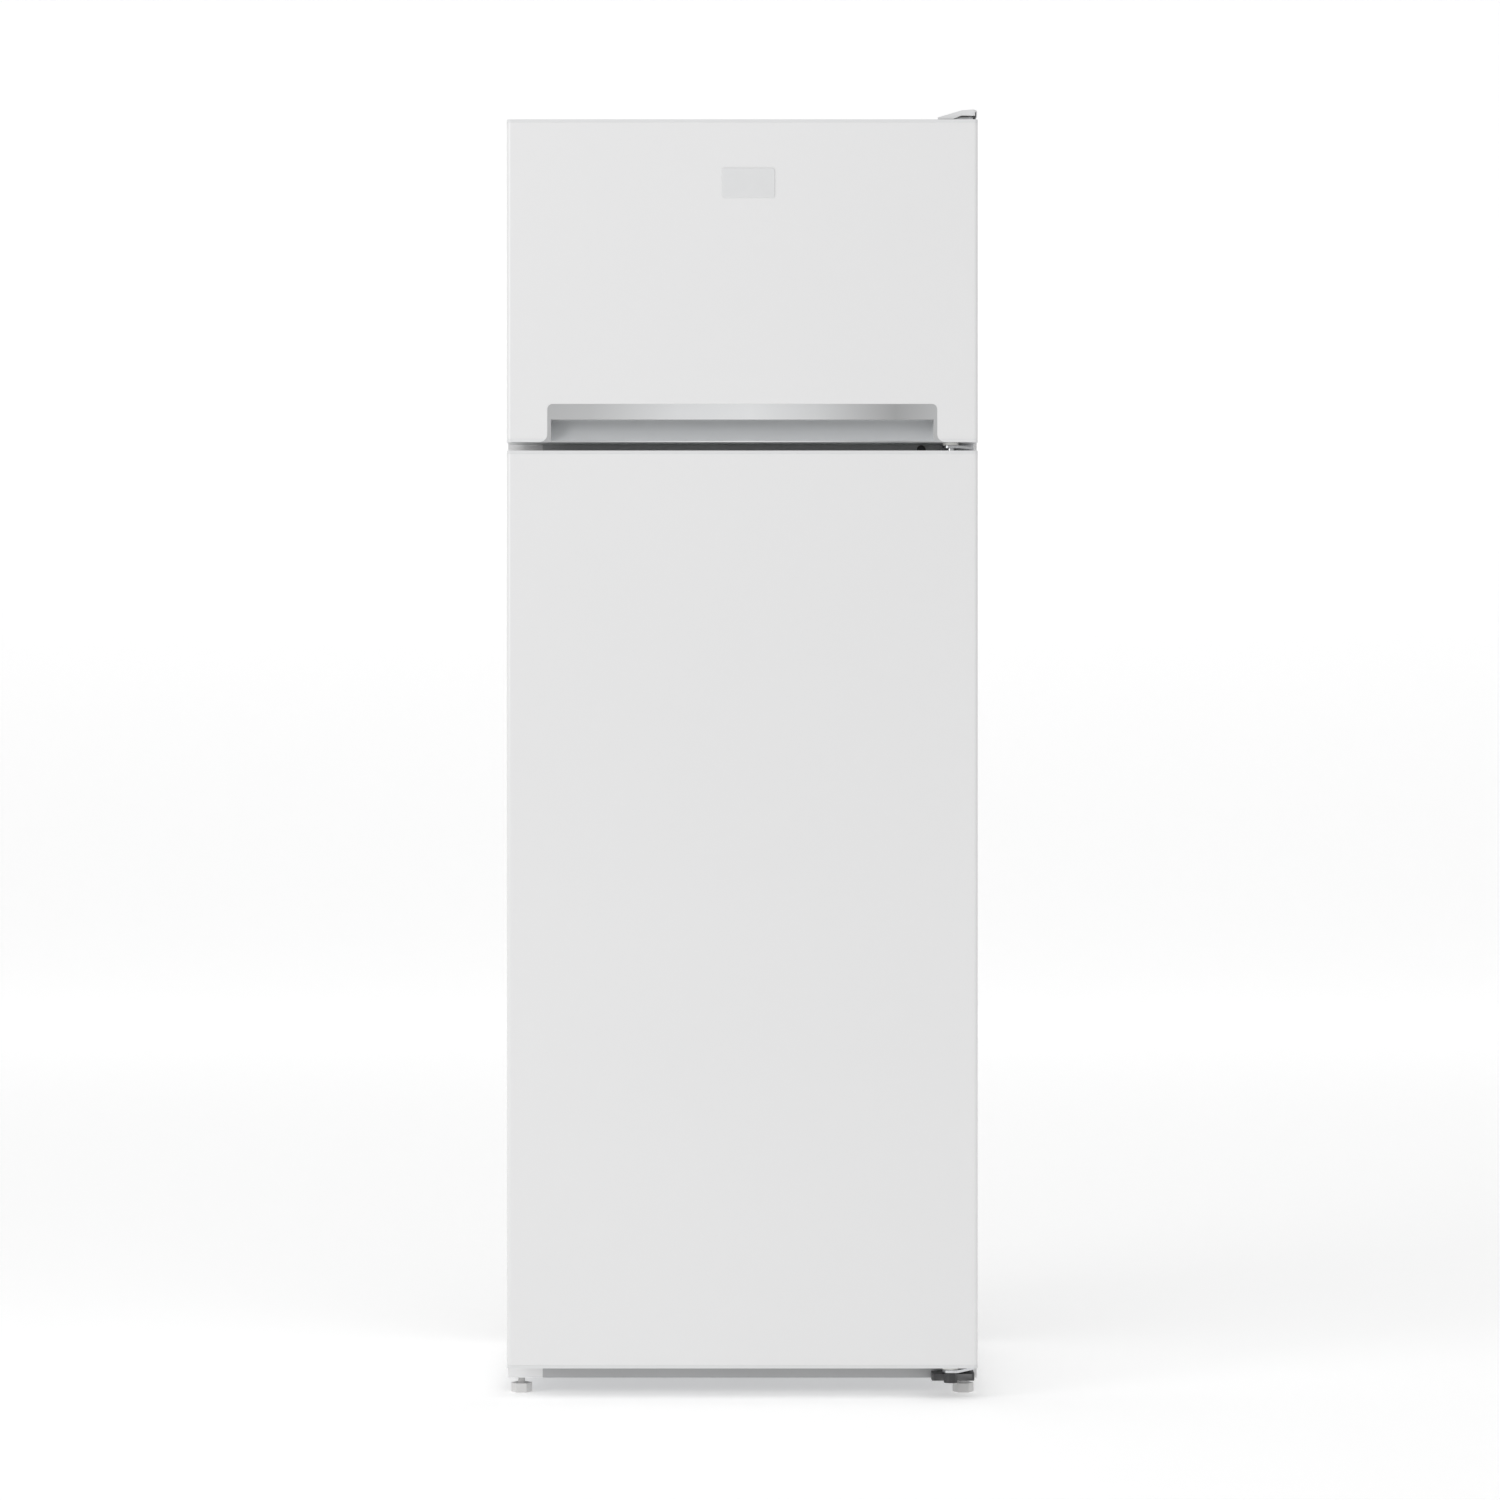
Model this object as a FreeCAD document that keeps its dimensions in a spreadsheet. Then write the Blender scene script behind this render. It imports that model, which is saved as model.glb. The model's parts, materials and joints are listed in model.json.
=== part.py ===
import FreeCAD, Part
import os
import re

import Sketcher
from FreeCAD import Rotation, Vector

# Top freezer refrigerator.  +X is right seen from the front, +Y is the back, +Z is up.
# The floor is z = 0; x and y are measured from the middle of the whole refrigerator.  Sizes are in
# millimetres.  A name ending in _side or _edge is a distance in from the cabinet's sides, in _away
# from its back, in _in from its front.

DOC = FreeCAD.newDocument("refrigerator")
SHEET = DOC.addObject("Spreadsheet::Sheet", "sizes")

SIZES = {
    # whole refrigerator and cabinet
    "cab_width": 540,
    "cab_depth": 480,
    "cab_low": 18.5,          # underside of the cabinet
    "cab_top": 1458,
    "steel": 0.7,             # sheet of the outer skins
    "frame_width": 40,        # folded front edge of the side panels
    "rail_height": 14.5,      # channel under the front of the cabinet
    "rail_depth": 34,
    "bay_deep": 152,          # compressor bay, open at the back
    "bay_top": 240,
    # compartments
    "wall": 1.5,              # formed plastic of the liners
    "lip": 4,                 # liner edge that shows on the front frame
    "fridge_side": 44,
    "fridge_floor": 85,
    "fridge_ceiling": 1060,
    "freezer_side": 56,
    "freezer_floor": 1118,
    "freezer_roof": 55,
    "liner_away": 60,
    "freezer_away": 75,
    "step_deep": 187,         # step over the compressor bay
    "step_top": 285,
    "liner_round": 14,
    "rib": 7,                 # shelf rests on the side walls
    "rib_in": 105,
    # doors
    "door_reveal": 1.5,
    "door_thick": 51,
    "seal_gap": 12,           # door back to cabinet front
    "fridge_door_low": 37.2,
    "fridge_door_top": 1082.7,
    "freezer_door_low": 1092.4,
    "door_over": 2,
    "door_round": 5,
    "back_round": 7,
    "cap_edge": 3.4,          # band of the end caps that shows
    "cap_plug": 12,           # cap wall inside the skin
    "cap_wall": 2,
    "dyke_gap": 8,            # raised rim of the door liner to the compartment wall
    "dyke_wide": 15,
    "dyke_deep": 42,
    "dyke_round": 4,
    "seal_edge": 28,          # outer edge of the gasket
    "seal_wide": 14,
    "seal_clear": 0.4,
    "run": 0.3,               # clearance between parts that move past each other
    # handle recess and badge
    "grip_side": 48,
    "grip_high": 43.3,
    "grip_open": 25.6,
    "grip_deep": 28,
    "grip_wall": 4,
    "grip_lip": 1.2,          # edge of the trim under the fingers
    "grip_flare": 9,          # the trim widens by this at the door's lower edge
    "badge_wide": 60,
    "badge_high": 34,
    "badge_thick": 1,
    "badge_side": 7,
    "badge_drop": 72.6,
    # hinges
    "hinge_edge": 32,         # swing axis
    "hinge_ahead": 45,        # axis in front of the cabinet front
    "pin_dia": 7,
    "pin_play": 0.05,
    "bush_dia": 14,
    "bush_deep": 15,
    "plate": 3,               # hinge plates
    "flange": 2,              # hinge plate edges screwed to the cabinet
    "flange_half": 10.5,
    "top_plate": 2.5,         # the top hinge plate, joggled up over the door
    "joggle": 3.2,
    "plate_in_edge": 41,      # hinge plates between these two
    "plate_out_edge": 4,
    "cover_in_edge": 47,
    "cover_out_edge": 2,
    "cover_over": 14,
    "cover_wall": 1.2,
    "screw_dia": 4,
    "screw_head": 7.4,
    "screw_long": 12,
    "plug_dia": 10,
    "plug_edge": 64,
    # shelves and drawer
    "glass": 4,
    "shelf_low": 500,
    "shelf_high": 745,
    "shelf_in": 99,
    "shelf_away": 92,
    "crisper_cover": 287,
    "freezer_shelf": 1258,
    "trim_high": 14,
    "drawer_gap": 10,
    "drawer_in": 103,
    "drawer_room": 8,
    "drawer_high": 176,
    "drawer_wall": 2.2,
    # door racks
    "rack_in": 85,
    "rack_wall": 2,
    "rack_gap": 6,            # rack end to the rim of the door liner
    "rack_low": 380,
    "rack_middle": 600,
    "rack_high": 820,
    "lug_deep": 16,
    "lug_high": 14,
    # control housing
    "house_half": 95,
    "house_low": 1012,
    "house_in": 39,
    "house_far": 173,
    "house_wall": 2,
    "knob_dia": 34,
    "knob_high": 12,
    "knob_side": 50,
    "knob_in": 103,
    "plunger_wide": 8,
    "plunger_level": 1044,
    # machine bay and back
    "comp_side": 60,
    "comp_away": 75,
    "comp_dia": 132,
    "comp_low": 43,           # underside of the shell
    "comp_high": 150,
    "comp_foot_x": 58,        # mounting bolts either side of the middle
    "comp_foot_y": 44,
    "bolt_dia": 6,
    "line_dia": 6,
    "line_away": 10.6,        # suction line behind the fridge liner
    "line_side": 160,
    "drier_dia": 18,          # filter drier beside the condenser
    "drier_near": 172,
    "drier_far": 222,
    "drier_away": 57,
    "drier_level": 180,
    "base_low": 22,
    "base_thick": 2.5,
    "tube_dia": 5,
    "wire_dia": 1.6,
    "cond_edge": 65,
    "cond_low": 330,
    "cond_step": 96,
    "cond_space": 30,         # cabinet back to the rearmost face of the spacers
    "cond_away": 15,          # condenser tube in front of the rearmost face
    # feet and rollers
    "foot_edge": 15,
    "foot_ahead": 6,          # foot axis behind the cabinet front
    "foot_high": 11.3,
    "foot_flat": 21.5,
    "stem_dia": 8,
    "roller_edge": 38,
    "roller_away": 29,
    "roller_dia": 30,
    "roller_wide": 16,
    "axle_dia": 6,
}
# Limits that follow the cabinet: half widths, levels from its front or back, heights from its top
FOLLOWING = {
    "overall_depth": "(badge_thick + door_thick + seal_gap + cab_depth + cond_space)",
    "cab_front": "(badge_thick + door_thick + seal_gap - overall_depth / 2)",
    "cab_back": "(cab_front + cab_depth)",
    "fridge_half": "(cab_width / 2 - fridge_side)",
    "freezer_half": "(cab_width / 2 - freezer_side)",
    "door_width": "(cab_width - 2 * door_reveal)",
    "grip_half": "(cab_width / 2 - grip_side)",
    "hinge_side": "(cab_width / 2 - hinge_edge)",
    "plate_in": "(cab_width / 2 - plate_in_edge)",
    "plate_out": "(cab_width / 2 - plate_out_edge)",
    "cover_in": "(cab_width / 2 - cover_in_edge)",
    "cover_out": "(cab_width / 2 - cover_out_edge)",
    "seal_out": "(cab_width / 2 - seal_edge)",
    "foot_side": "(cab_width / 2 - foot_edge)",
    "roller_side": "(cab_width / 2 - roller_edge)",
    "plug_side": "(cab_width / 2 - plug_edge)",
    "cond_half": "(cab_width / 2 - cond_edge)",
    "drawer_half": "(fridge_half - drawer_gap)",
    "bay_front": "(cab_back - bay_deep)",
    "liner_back": "(cab_back - liner_away)",
    "freezer_back": "(cab_back - freezer_away)",
    "step_front": "(cab_back - step_deep)",
    "shelf_back": "(cab_back - shelf_away)",
    "comp_deep": "(cab_back - comp_away)",
    "drier_deep": "(cab_back - drier_away)",
    "roller_deep": "(cab_back - roller_away)",
    "drawer_back": "(step_front - drawer_room)",
    "shelf_front": "(cab_front + shelf_in)",
    "rib_front": "(cab_front + rib_in)",
    "drawer_front": "(cab_front + drawer_in)",
    "rack_front": "(cab_front + rack_in)",
    "house_front": "(cab_front + house_in)",
    "house_back": "(cab_front + house_far)",
    "knob_deep": "(cab_front + knob_in)",
    "freezer_ceiling": "(cab_top - freezer_roof)",
    "freezer_door_top": "(cab_top + door_over)",
    "cover_top": "(cab_top + cover_over)",
    "badge_level": "(freezer_door_top - badge_drop)",
}
CONDENSER_ROWS = 11
CONDENSER_WIRES = 18

for line, (size_name, size) in enumerate(SIZES.items(), 1):
    SHEET.set(f"A{line}", size_name.replace("_", " "))
    SHEET.set(f"B{line}", str(size))
    SHEET.setAlias(f"B{line}", size_name)
DOC.recompute()

SIZE_WORD = re.compile(r"\b(" + "|".join(SIZES) + r")\b")
FOLLOWING_WORD = re.compile(r"\b(" + "|".join(FOLLOWING) + r")\b")
AXES = {"x": Vector(1, 0, 0), "y": Vector(0, 1, 0), "z": Vector(0, 0, 1)}
PLANES = {"x": "YZ_Plane", "y": "XZ_Plane", "z": "XY_Plane"}
TINY = 1e-4
NODES = []


def bound(text):
    """A size expression with every name worked back to the spreadsheet's sizes."""
    text = str(text)
    while FOLLOWING_WORD.search(text):
        text = FOLLOWING_WORD.sub(lambda found: FOLLOWING[found[1]], text)
    return SIZE_WORD.sub(r"sizes.\1", text)


def value(text):
    """A size expression worked out in millimetres."""
    return float(SHEET.evalExpression(bound(text)))


def both(half):
    """Low and high limits the same distance either side of the middle."""
    return f"-({half})", f"({half})"


def span(side, near, far):
    """Low and high x limits of something between near and far on one side (-1 left, 1 right)."""
    return (f"({near})", f"({far})") if side > 0 else (f"-({far})", f"-({near})")


def box(x, y, z):
    """A block between three pairs of low and high limits."""
    block = DOC.addObject("Part::Box", "block")
    for side, axis, (low, high) in zip(("Length", "Width", "Height"), "xyz", (x, y, z)):
        block.setExpression(side, bound(f"({high}) - ({low})"))
        block.setExpression(f"Placement.Base.{axis}", bound(low))
    return block


def place(item, x, y, z):
    """Puts an object's own origin at a point given by size expressions."""
    for axis, text in zip("xyz", (x, y, z)):
        item.setExpression(f"Placement.Base.{axis}", bound(text))


def rod(axis, radius, across, low, high, end_radius=None):
    """A round bar, or a cone, along one axis; across holds its two other coordinates in order."""
    bar = DOC.addObject("Part::Cone" if end_radius else "Part::Cylinder", "bar")
    if end_radius:
        bar.setExpression("Radius1", bound(radius))
        bar.setExpression("Radius2", bound(end_radius))
    else:
        bar.setExpression("Radius", bound(radius))
    bar.setExpression("Height", bound(f"({high}) - ({low})"))
    bar.Placement.Rotation = Rotation(AXES["z"], AXES[axis])
    point = list(across)
    point.insert("xyz".index(axis), low)
    place(bar, *point)
    return bar


def fuse(*items):
    """Several touching shapes made one."""
    joined = DOC.addObject("Part::MultiFuse", "joined")
    joined.Shapes = list(items)
    return joined


def cut(base, *tools):
    """A shape with the tools taken away."""
    left = DOC.addObject("Part::Cut", "left")
    left.Base = base
    left.Tool = tools[0] if len(tools) == 1 else fuse(*tools)
    return left


def group(*items):
    """Identical pieces kept together as separate solids."""
    kept = DOC.addObject("Part::Compound", "kept")
    kept.Links = list(items)
    return kept


def node(label, item):
    """Names a finished sub-part."""
    item.Label = label
    NODES.append(item)
    return item


def pipe(radius, *points):
    """A round bar bent through points, with rounded corners."""
    path = Part.makePolygon([Vector(*(value(text) for text in point)) for point in points])
    start, following = path.Vertexes[0].Point, path.Vertexes[1].Point
    sweep = Part.BRepOffsetAPI.MakePipeShell(path)
    sweep.setTransitionMode(2)
    sweep.add(Part.Wire(Part.makeCircle(value(radius), start, following - start)))
    sweep.build()
    sweep.makeSolid()
    bent = DOC.addObject("Part::Feature", "bent")
    bent.Shape = sweep.shape()
    return bent


class Moulding:
    """One PartDesign body made of padded, pocketed, turned and rounded sketches."""

    def __init__(self, name="moulding"):
        self.body = DOC.addObject("PartDesign::Body", name)

    def sketch(self, axis, loops, level):
        """A sketch square to the axis at a level; each loop is a list of corners or a circle."""
        drawn = self.body.newObject("Sketcher::SketchObject", "outline")
        plane = [item for item in self.body.Origin.OriginFeatures if item.Role == PLANES[axis]]
        drawn.AttachmentSupport = [(plane[0], "")]
        drawn.MapMode = "FlatFace"
        drawn.setExpression("AttachmentOffset.Base.z", bound(level))
        for loop in loops:
            if isinstance(loop, tuple):
                self.circle(drawn, *loop)
            else:
                self.polygon(drawn, loop)
        return drawn

    @staticmethod
    def pin(drawn, piece, end, corner):
        """Ties one sketch point to size expressions."""
        for kind, text in zip(("DistanceX", "DistanceY"), corner):
            index = drawn.addConstraint(Sketcher.Constraint(kind, -1, 1, piece, end, value(text)))
            drawn.setExpression(f"Constraints[{index}]", bound(text))

    def circle(self, drawn, across, up, radius):
        centre = Vector(value(across), value(up), 0)
        piece = drawn.addGeometry(Part.Circle(centre, AXES["z"], value(radius)), False)
        index = drawn.addConstraint(Sketcher.Constraint("Radius", piece, value(radius)))
        drawn.setExpression(f"Constraints[{index}]", bound(radius))
        self.pin(drawn, piece, 3, (across, up))

    def polygon(self, drawn, corners):
        points = [Vector(value(across), value(up), 0) for across, up in corners]
        first = drawn.GeometryCount
        for start, end in zip(points, points[1:] + points[:1]):
            drawn.addGeometry(Part.LineSegment(start, end), False)
        for index, corner in enumerate(corners):
            following = first + (index + 1) % len(corners)
            drawn.addConstraint(Sketcher.Constraint("Coincident", first + index, 2, following, 1))
            self.pin(drawn, first + index, 1, corner)

    def extrude(self, kind, axis, loops, low, high):
        """Pads or pockets loops along an axis from low to high; a Y sketch faces the front."""
        start = high if (kind == "Pocket") != (axis == "y") else low
        level = f"-({start})" if axis == "y" else start
        drawn = self.sketch(axis, loops, level)
        before = self.body.Tip.Shape.Volume if self.body.Tip else 0
        feature = self.body.newObject(f"PartDesign::{kind}", kind.lower())
        feature.Profile = drawn
        feature.setExpression("Length", bound(f"({high}) - ({low})"))
        DOC.recompute()
        change = feature.Shape.Volume - before
        if (change > 0) != (kind == "Pad"):
            raise ValueError(f"{self.body.Name}: a {kind} changed the volume by {change}")
        return self

    def pad(self, axis, loops, low, high):
        return self.extrude("Pad", axis, loops, low, high)

    def pocket(self, axis, loops, low, high):
        return self.extrude("Pocket", axis, loops, low, high)

    def turn(self, corners):
        """Turns a profile of (radius, height) corners about the body's own upright axis."""
        drawn = self.sketch("y", [corners], "0")
        feature = self.body.newObject("PartDesign::Revolution", "turned")
        feature.Profile = drawn
        feature.ReferenceAxis = (drawn, ["V_Axis"])
        feature.Angle = 360
        DOC.recompute()
        return self

    def round(self, radius, chosen, kind="Fillet"):
        """Rounds or chamfers the edges that the chosen test accepts."""
        tip = self.body.Tip
        edges = [f"Edge{index}" for index, edge in enumerate(tip.Shape.Edges, 1)
                 if chosen(edge.BoundBox)]
        if not edges:
            raise ValueError(f"{self.body.Name}: no edge to round")
        feature = self.body.newObject(f"PartDesign::{kind}", kind.lower())
        feature.Base = (tip, edges)
        feature.setExpression("Radius" if kind == "Fillet" else "Size", bound(radius))
        DOC.recompute()
        return self

    def repeat(self, sketch_axis, length, count):
        """Repeats the last feature along one of its sketch's axes."""
        last = self.body.Tip
        pattern = self.body.newObject("PartDesign::LinearPattern", "row")
        pattern.Originals = [last]
        pattern.Direction = (last.Profile[0], [sketch_axis])
        pattern.setExpression("Length", bound(length))
        pattern.Occurrences = count
        self.body.Tip = pattern
        DOC.recompute()
        return self


def upright(bounds):
    """True for an edge along Z."""
    return bounds.XLength < TINY and bounds.YLength < TINY


def sideways(bounds):
    """True for an edge along X."""
    return bounds.YLength < TINY and bounds.ZLength < TINY


def lengthways(bounds):
    """True for an edge along Y."""
    return bounds.XLength < TINY and bounds.ZLength < TINY


def flat_at(axis, level):
    """A test for edges lying wholly at one level of an axis."""
    place_of = value(level)

    def chosen(bounds):
        low, high = getattr(bounds, f"{axis}Min"), getattr(bounds, f"{axis}Max")
        return abs(low - place_of) < TINY and abs(high - place_of) < TINY
    return chosen


def rectangle(across, up):
    """The four corners between two pairs of limits."""
    return [(across[0], up[0]), (across[1], up[0]), (across[1], up[1]), (across[0], up[1])]


def frame_box(half_x, z, wide, y):
    """A rectangular ring seen from the front: outer limits, band width and depth."""
    inner = (f"{z[0]} + {wide}", f"{z[1]} - {wide}")
    through = (f"{y[0]} - 1", f"{y[1]} + 1")
    return cut(box(both(half_x), y, z), box(both(f"{half_x} - {wide}"), through, inner))


front_most = "-overall_depth / 2"
back_most = "overall_depth / 2"
door_front = f"{front_most} + badge_thick"
door_back = f"{door_front} + door_thick"
cab_front, cab_back = "cab_front", "cab_back"
hinge_y = f"({cab_front} - hinge_ahead)"
half = "cab_width / 2"

# ---------------------------------------------------------------------------------------------
# Compartments: rounded hollows; the fridge one steps up over the compressor bay
# ---------------------------------------------------------------------------------------------


def compartment(half_x, outline, grow):
    """The solid that fills a compartment, its outline seen from the side."""
    filled = Moulding("compartment").pad("x", [outline], *both(f"{half_x} + {grow}"))
    mouth = flat_at("Y", cab_front)
    return filled.round(f"liner_round + {grow}", lambda bounds: not mouth(bounds)).body


def fridge_outline(grow):
    return [
        (cab_front, f"fridge_floor - {grow}"),
        (f"step_front + {grow}", f"fridge_floor - {grow}"),
        (f"step_front + {grow}", f"step_top - {grow}"),
        (f"liner_back + {grow}", f"step_top - {grow}"),
        (f"liner_back + {grow}", f"fridge_ceiling + {grow}"),
        (cab_front, f"fridge_ceiling + {grow}"),
    ]


def freezer_outline(grow):
    return rectangle((cab_front, f"freezer_back + {grow}"),
                     (f"freezer_floor - {grow}", f"freezer_ceiling + {grow}"))


def shelf_ribs(half_x, level, back):
    """Rests for one shelf on both side walls."""
    return [box(span(side, f"{half_x} - rib", f"{half_x} + wall / 2"), ("rib_front", back),
                (f"{level} - 6", level)) for side in (-1, 1)]


fridge_fill = compartment("fridge_half", fridge_outline("wall"), "wall")
freezer_fill = compartment("freezer_half", freezer_outline("wall"), "wall")
fridge_lip = box(both("fridge_half + lip"), (cab_front, f"{cab_front} + wall"),
                 ("fridge_floor - lip", "fridge_ceiling + lip"))
freezer_lip = box(both("fridge_half + lip"), (cab_front, f"{cab_front} + wall"),
                  ("freezer_floor - lip", "freezer_ceiling + lip"))
drain_hole = rod("z", "6", ("comp_side", "liner_back - 22"), "step_top - wall - 2", "step_top + 1")
fridge_shell = cut(fuse(fridge_fill, fridge_lip),
                   compartment("fridge_half", fridge_outline("0"), "0"), drain_hole)
node("fridge_liner", fuse(fridge_shell,
                          *shelf_ribs("fridge_half", "shelf_low", "shelf_back"),
                          *shelf_ribs("fridge_half", "shelf_high", "shelf_back"),
                          *shelf_ribs("fridge_half", "crisper_cover", "step_front - 2")))
node("freezer_liner", fuse(cut(fuse(freezer_fill, freezer_lip),
                               compartment("freezer_half", freezer_outline("0"), "0")),
                           *shelf_ribs("freezer_half", "freezer_shelf", "shelf_back")))

# ---------------------------------------------------------------------------------------------
# Screws of the three hinges, countersunk flush with the hinge plates, and the compressor bolts
# ---------------------------------------------------------------------------------------------
between_doors = "(fridge_door_top + freezer_door_low) / 2"
bottom_plate_top = f"fridge_door_low - (freezer_door_low - {between_doors} - plate / 2)"
screw_sides = ("plate_in + 7", "plate_out - 6")
screws = []
for across in screw_sides:
    for level in (f"{between_doors} - 6", "cab_low + 7"):
        screws.append(fuse(
            rod("y", "screw_head / 2", (across, level), f"{cab_front} - flange",
                f"{cab_front} - flange + 1.6", "screw_dia / 2"),
            rod("y", "screw_dia / 2", (across, level), f"{cab_front} - flange + 1.6",
                f"{cab_front} - flange + screw_long")))
    screws.append(fuse(
        rod("z", "screw_dia / 2", (across, f"{cab_front} + 30"),
            "cab_top + top_plate - screw_long", "cab_top + top_plate - 1.6"),
        rod("z", "screw_dia / 2", (across, f"{cab_front} + 30"),
            "cab_top + top_plate - 1.6", "cab_top + top_plate", "screw_head / 2")))
bolts = []
for across in ("comp_side - comp_foot_x", "comp_side + comp_foot_x"):
    for deep in ("comp_deep - comp_foot_y", "comp_deep + comp_foot_y"):
        bolts.append(fuse(
            rod("z", "bolt_dia / 2", (across, deep), "base_low - 3", "comp_low + plate"),
            rod("z", "bolt_dia", (across, deep), "comp_low + plate", "comp_low + plate + 4")))
node("screws", group(*screws, *bolts))

# ---------------------------------------------------------------------------------------------
# Refrigerant lines: suction, discharge and liquid lines, the filter drier and its capillary
# ---------------------------------------------------------------------------------------------
line_x, line_y = "-line_side", "liner_back + wall + line_away"
cond_y = f"{back_most} - cond_away"
cond_out = "cond_half + 20"
cond_top = f"cond_low + cond_step * {CONDENSER_ROWS - 1}"
shell = "comp_dia / 2"
drier = rod("x", "drier_dia / 2", ("drier_deep", "drier_level"), "-drier_far", "-drier_near")
suction = pipe("line_dia / 2", (line_x, "freezer_back + wall + 7.4", "freezer_floor + 80"),
               (line_x, line_y, "freezer_floor + 80"), (line_x, line_y, "125"),
               (line_x, "comp_deep - 42", "125"),
               (f"comp_side - sqrt({shell} * {shell} - 39 * 39) - run", "comp_deep - 42", "125"))
discharge = pipe("tube_dia / 2", (f"comp_side + {shell} + run", "comp_deep", "130"),
                 (cond_out, "comp_deep", "130"), (cond_out, cond_y, "130"),
                 (cond_out, cond_y, "cond_low"), ("cond_half", cond_y, "cond_low"))
liquid = pipe("tube_dia / 2", ("-cond_half", cond_y, cond_top), (f"-({cond_out})", cond_y, cond_top),
              (f"-({cond_out})", cond_y, "drier_level"),
              (f"-({cond_out})", "drier_deep", "drier_level"),
              ("-drier_far", "drier_deep", "drier_level"))
capillary = pipe("1", ("-drier_near", "drier_deep", "drier_level"),
                 (f"{line_x} - 6", "drier_deep", "drier_level"),
                 (f"{line_x} - 6", line_y, "drier_level"),
                 (f"{line_x} - line_dia / 2 - run", line_y, "drier_level"))
node("refrigerant_lines", group(suction, discharge, liquid, drier, capillary))
drain_core = rod("z", "8.5", ("comp_side", "liner_back - 22"), "bay_top - 1", "step_top - wall")

# ---------------------------------------------------------------------------------------------
# Cabinet: side, top, back and base sheets, the front rails and the foam between them
# ---------------------------------------------------------------------------------------------
folds = []
for side, word in ((-1, "left"), (1, "right")):
    sheet = box(span(side, f"{half} - steel", half), (cab_front, cab_back), ("cab_low", "cab_top"))
    folds.append(box(span(side, f"{half} - frame_width", half), (cab_front, f"{cab_front} + steel"),
                     ("cab_low", "cab_top")))
    node(f"side_panel_{word}", cut(fuse(sheet, folds[-1]), *screws))

inner_half = f"{half} - steel"
fold_half = f"{half} - frame_width"
top_fold = box(both(fold_half), (cab_front, f"{cab_front} + steel"),
               ("freezer_ceiling + lip", "cab_top"))
top_cover = box(both(inner_half), (f"{cab_front} + steel", cab_back), ("cab_top - steel", "cab_top"))
node("top_panel", cut(fuse(top_cover, top_fold), *screws))

base_top = "cab_low + rail_height + steel"
base_sheet = Moulding("base_sheet").pad("x", [[
    (f"{cab_front} + steel", f"{base_top} - steel"), ("bay_front", f"{base_top} - steel"),
    ("bay_front", "bay_top - steel"), (f"{cab_back} - steel", "bay_top - steel"),
    (f"{cab_back} - steel", "bay_top"), ("bay_front - steel", "bay_top"),
    ("bay_front - steel", base_top), (f"{cab_front} + steel", base_top)]], *both(inner_half)).body
base_fold = box(both(fold_half), (cab_front, f"{cab_front} + steel"),
                (f"{base_top} - steel", "fridge_floor - lip"))
node("base_panel", cut(fuse(base_sheet, base_fold), suction, drain_core))
node("back_panel", box(both(inner_half), (f"{cab_back} - steel", cab_back),
                       ("bay_top", "cab_top - steel")))

foot_y = f"{cab_front} + foot_ahead + foot_flat / 2"
rail_top = "cab_low + rail_height"
stem_holes = [rod("z", "stem_dia / 2 + pin_play", (f"{side} * foot_side", foot_y),
                  "cab_low - 1", "cab_low + 3") for side in (-1, 1)]
rail_block = box(both(inner_half), (cab_front, f"{cab_front} + rail_depth"), ("cab_low", rail_top))
rail_hollow = box(both(f"{inner_half} - 2"), (f"{cab_front} + 2.5", f"{cab_front} + rail_depth - 2"),
                  ("cab_low + 2", f"{rail_top} - 1.5"))
node("base_rail", cut(rail_block, rail_hollow, *folds, *screws, *stem_holes))

divider = ("fridge_ceiling + lip", "freezer_floor - lip")
node("divider_rail", cut(
    box(both(fold_half), (cab_front, f"{cab_front} + 16"), divider),
    box(both(f"{fold_half} + 1"), (f"{cab_front} + steel", f"{cab_front} + 17"),
        (f"{divider[0]} + steel", f"{divider[1]} - steel")), *screws))

COLD_PLATES = (
    ("freezer_back", "freezer_floor + 30", "freezer_ceiling - 30", 4),
    ("liner_back", "shelf_high + 20", "fridge_ceiling - 60", 4),
)
plates = []
for wall_y, low, high, rows in COLD_PLATES:
    near = f"{wall_y} + wall"
    row = f"({high} - ({low})) / {rows}"
    plate = box(both("170"), (near, f"{near} + 1.5"), (low, high))
    ridges = [rod("x", "3.5", (f"{near} + 3.6", f"{low} + {row} * ({step} + 0.5)"), "-160", "160")
              for step in range(rows)]
    plates.append(fuse(plate, *ridges))
node("evaporators", group(*plates))

foam_block = box(both(inner_half), (f"{cab_front} + steel", f"{cab_back} - steel"),
                 (base_top, "cab_top - steel"))
bay_block = box(both(half), ("bay_front - steel", cab_back), ("cab_low", "bay_top"))
divider_block = box(both(fold_half), (cab_front, f"{cab_front} + 16"), divider)
node("cabinet_foam", cut(foam_block, fridge_fill, freezer_fill, fridge_lip, freezer_lip, bay_block,
                         divider_block, drain_core, suction, *screws, *plates))

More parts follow.
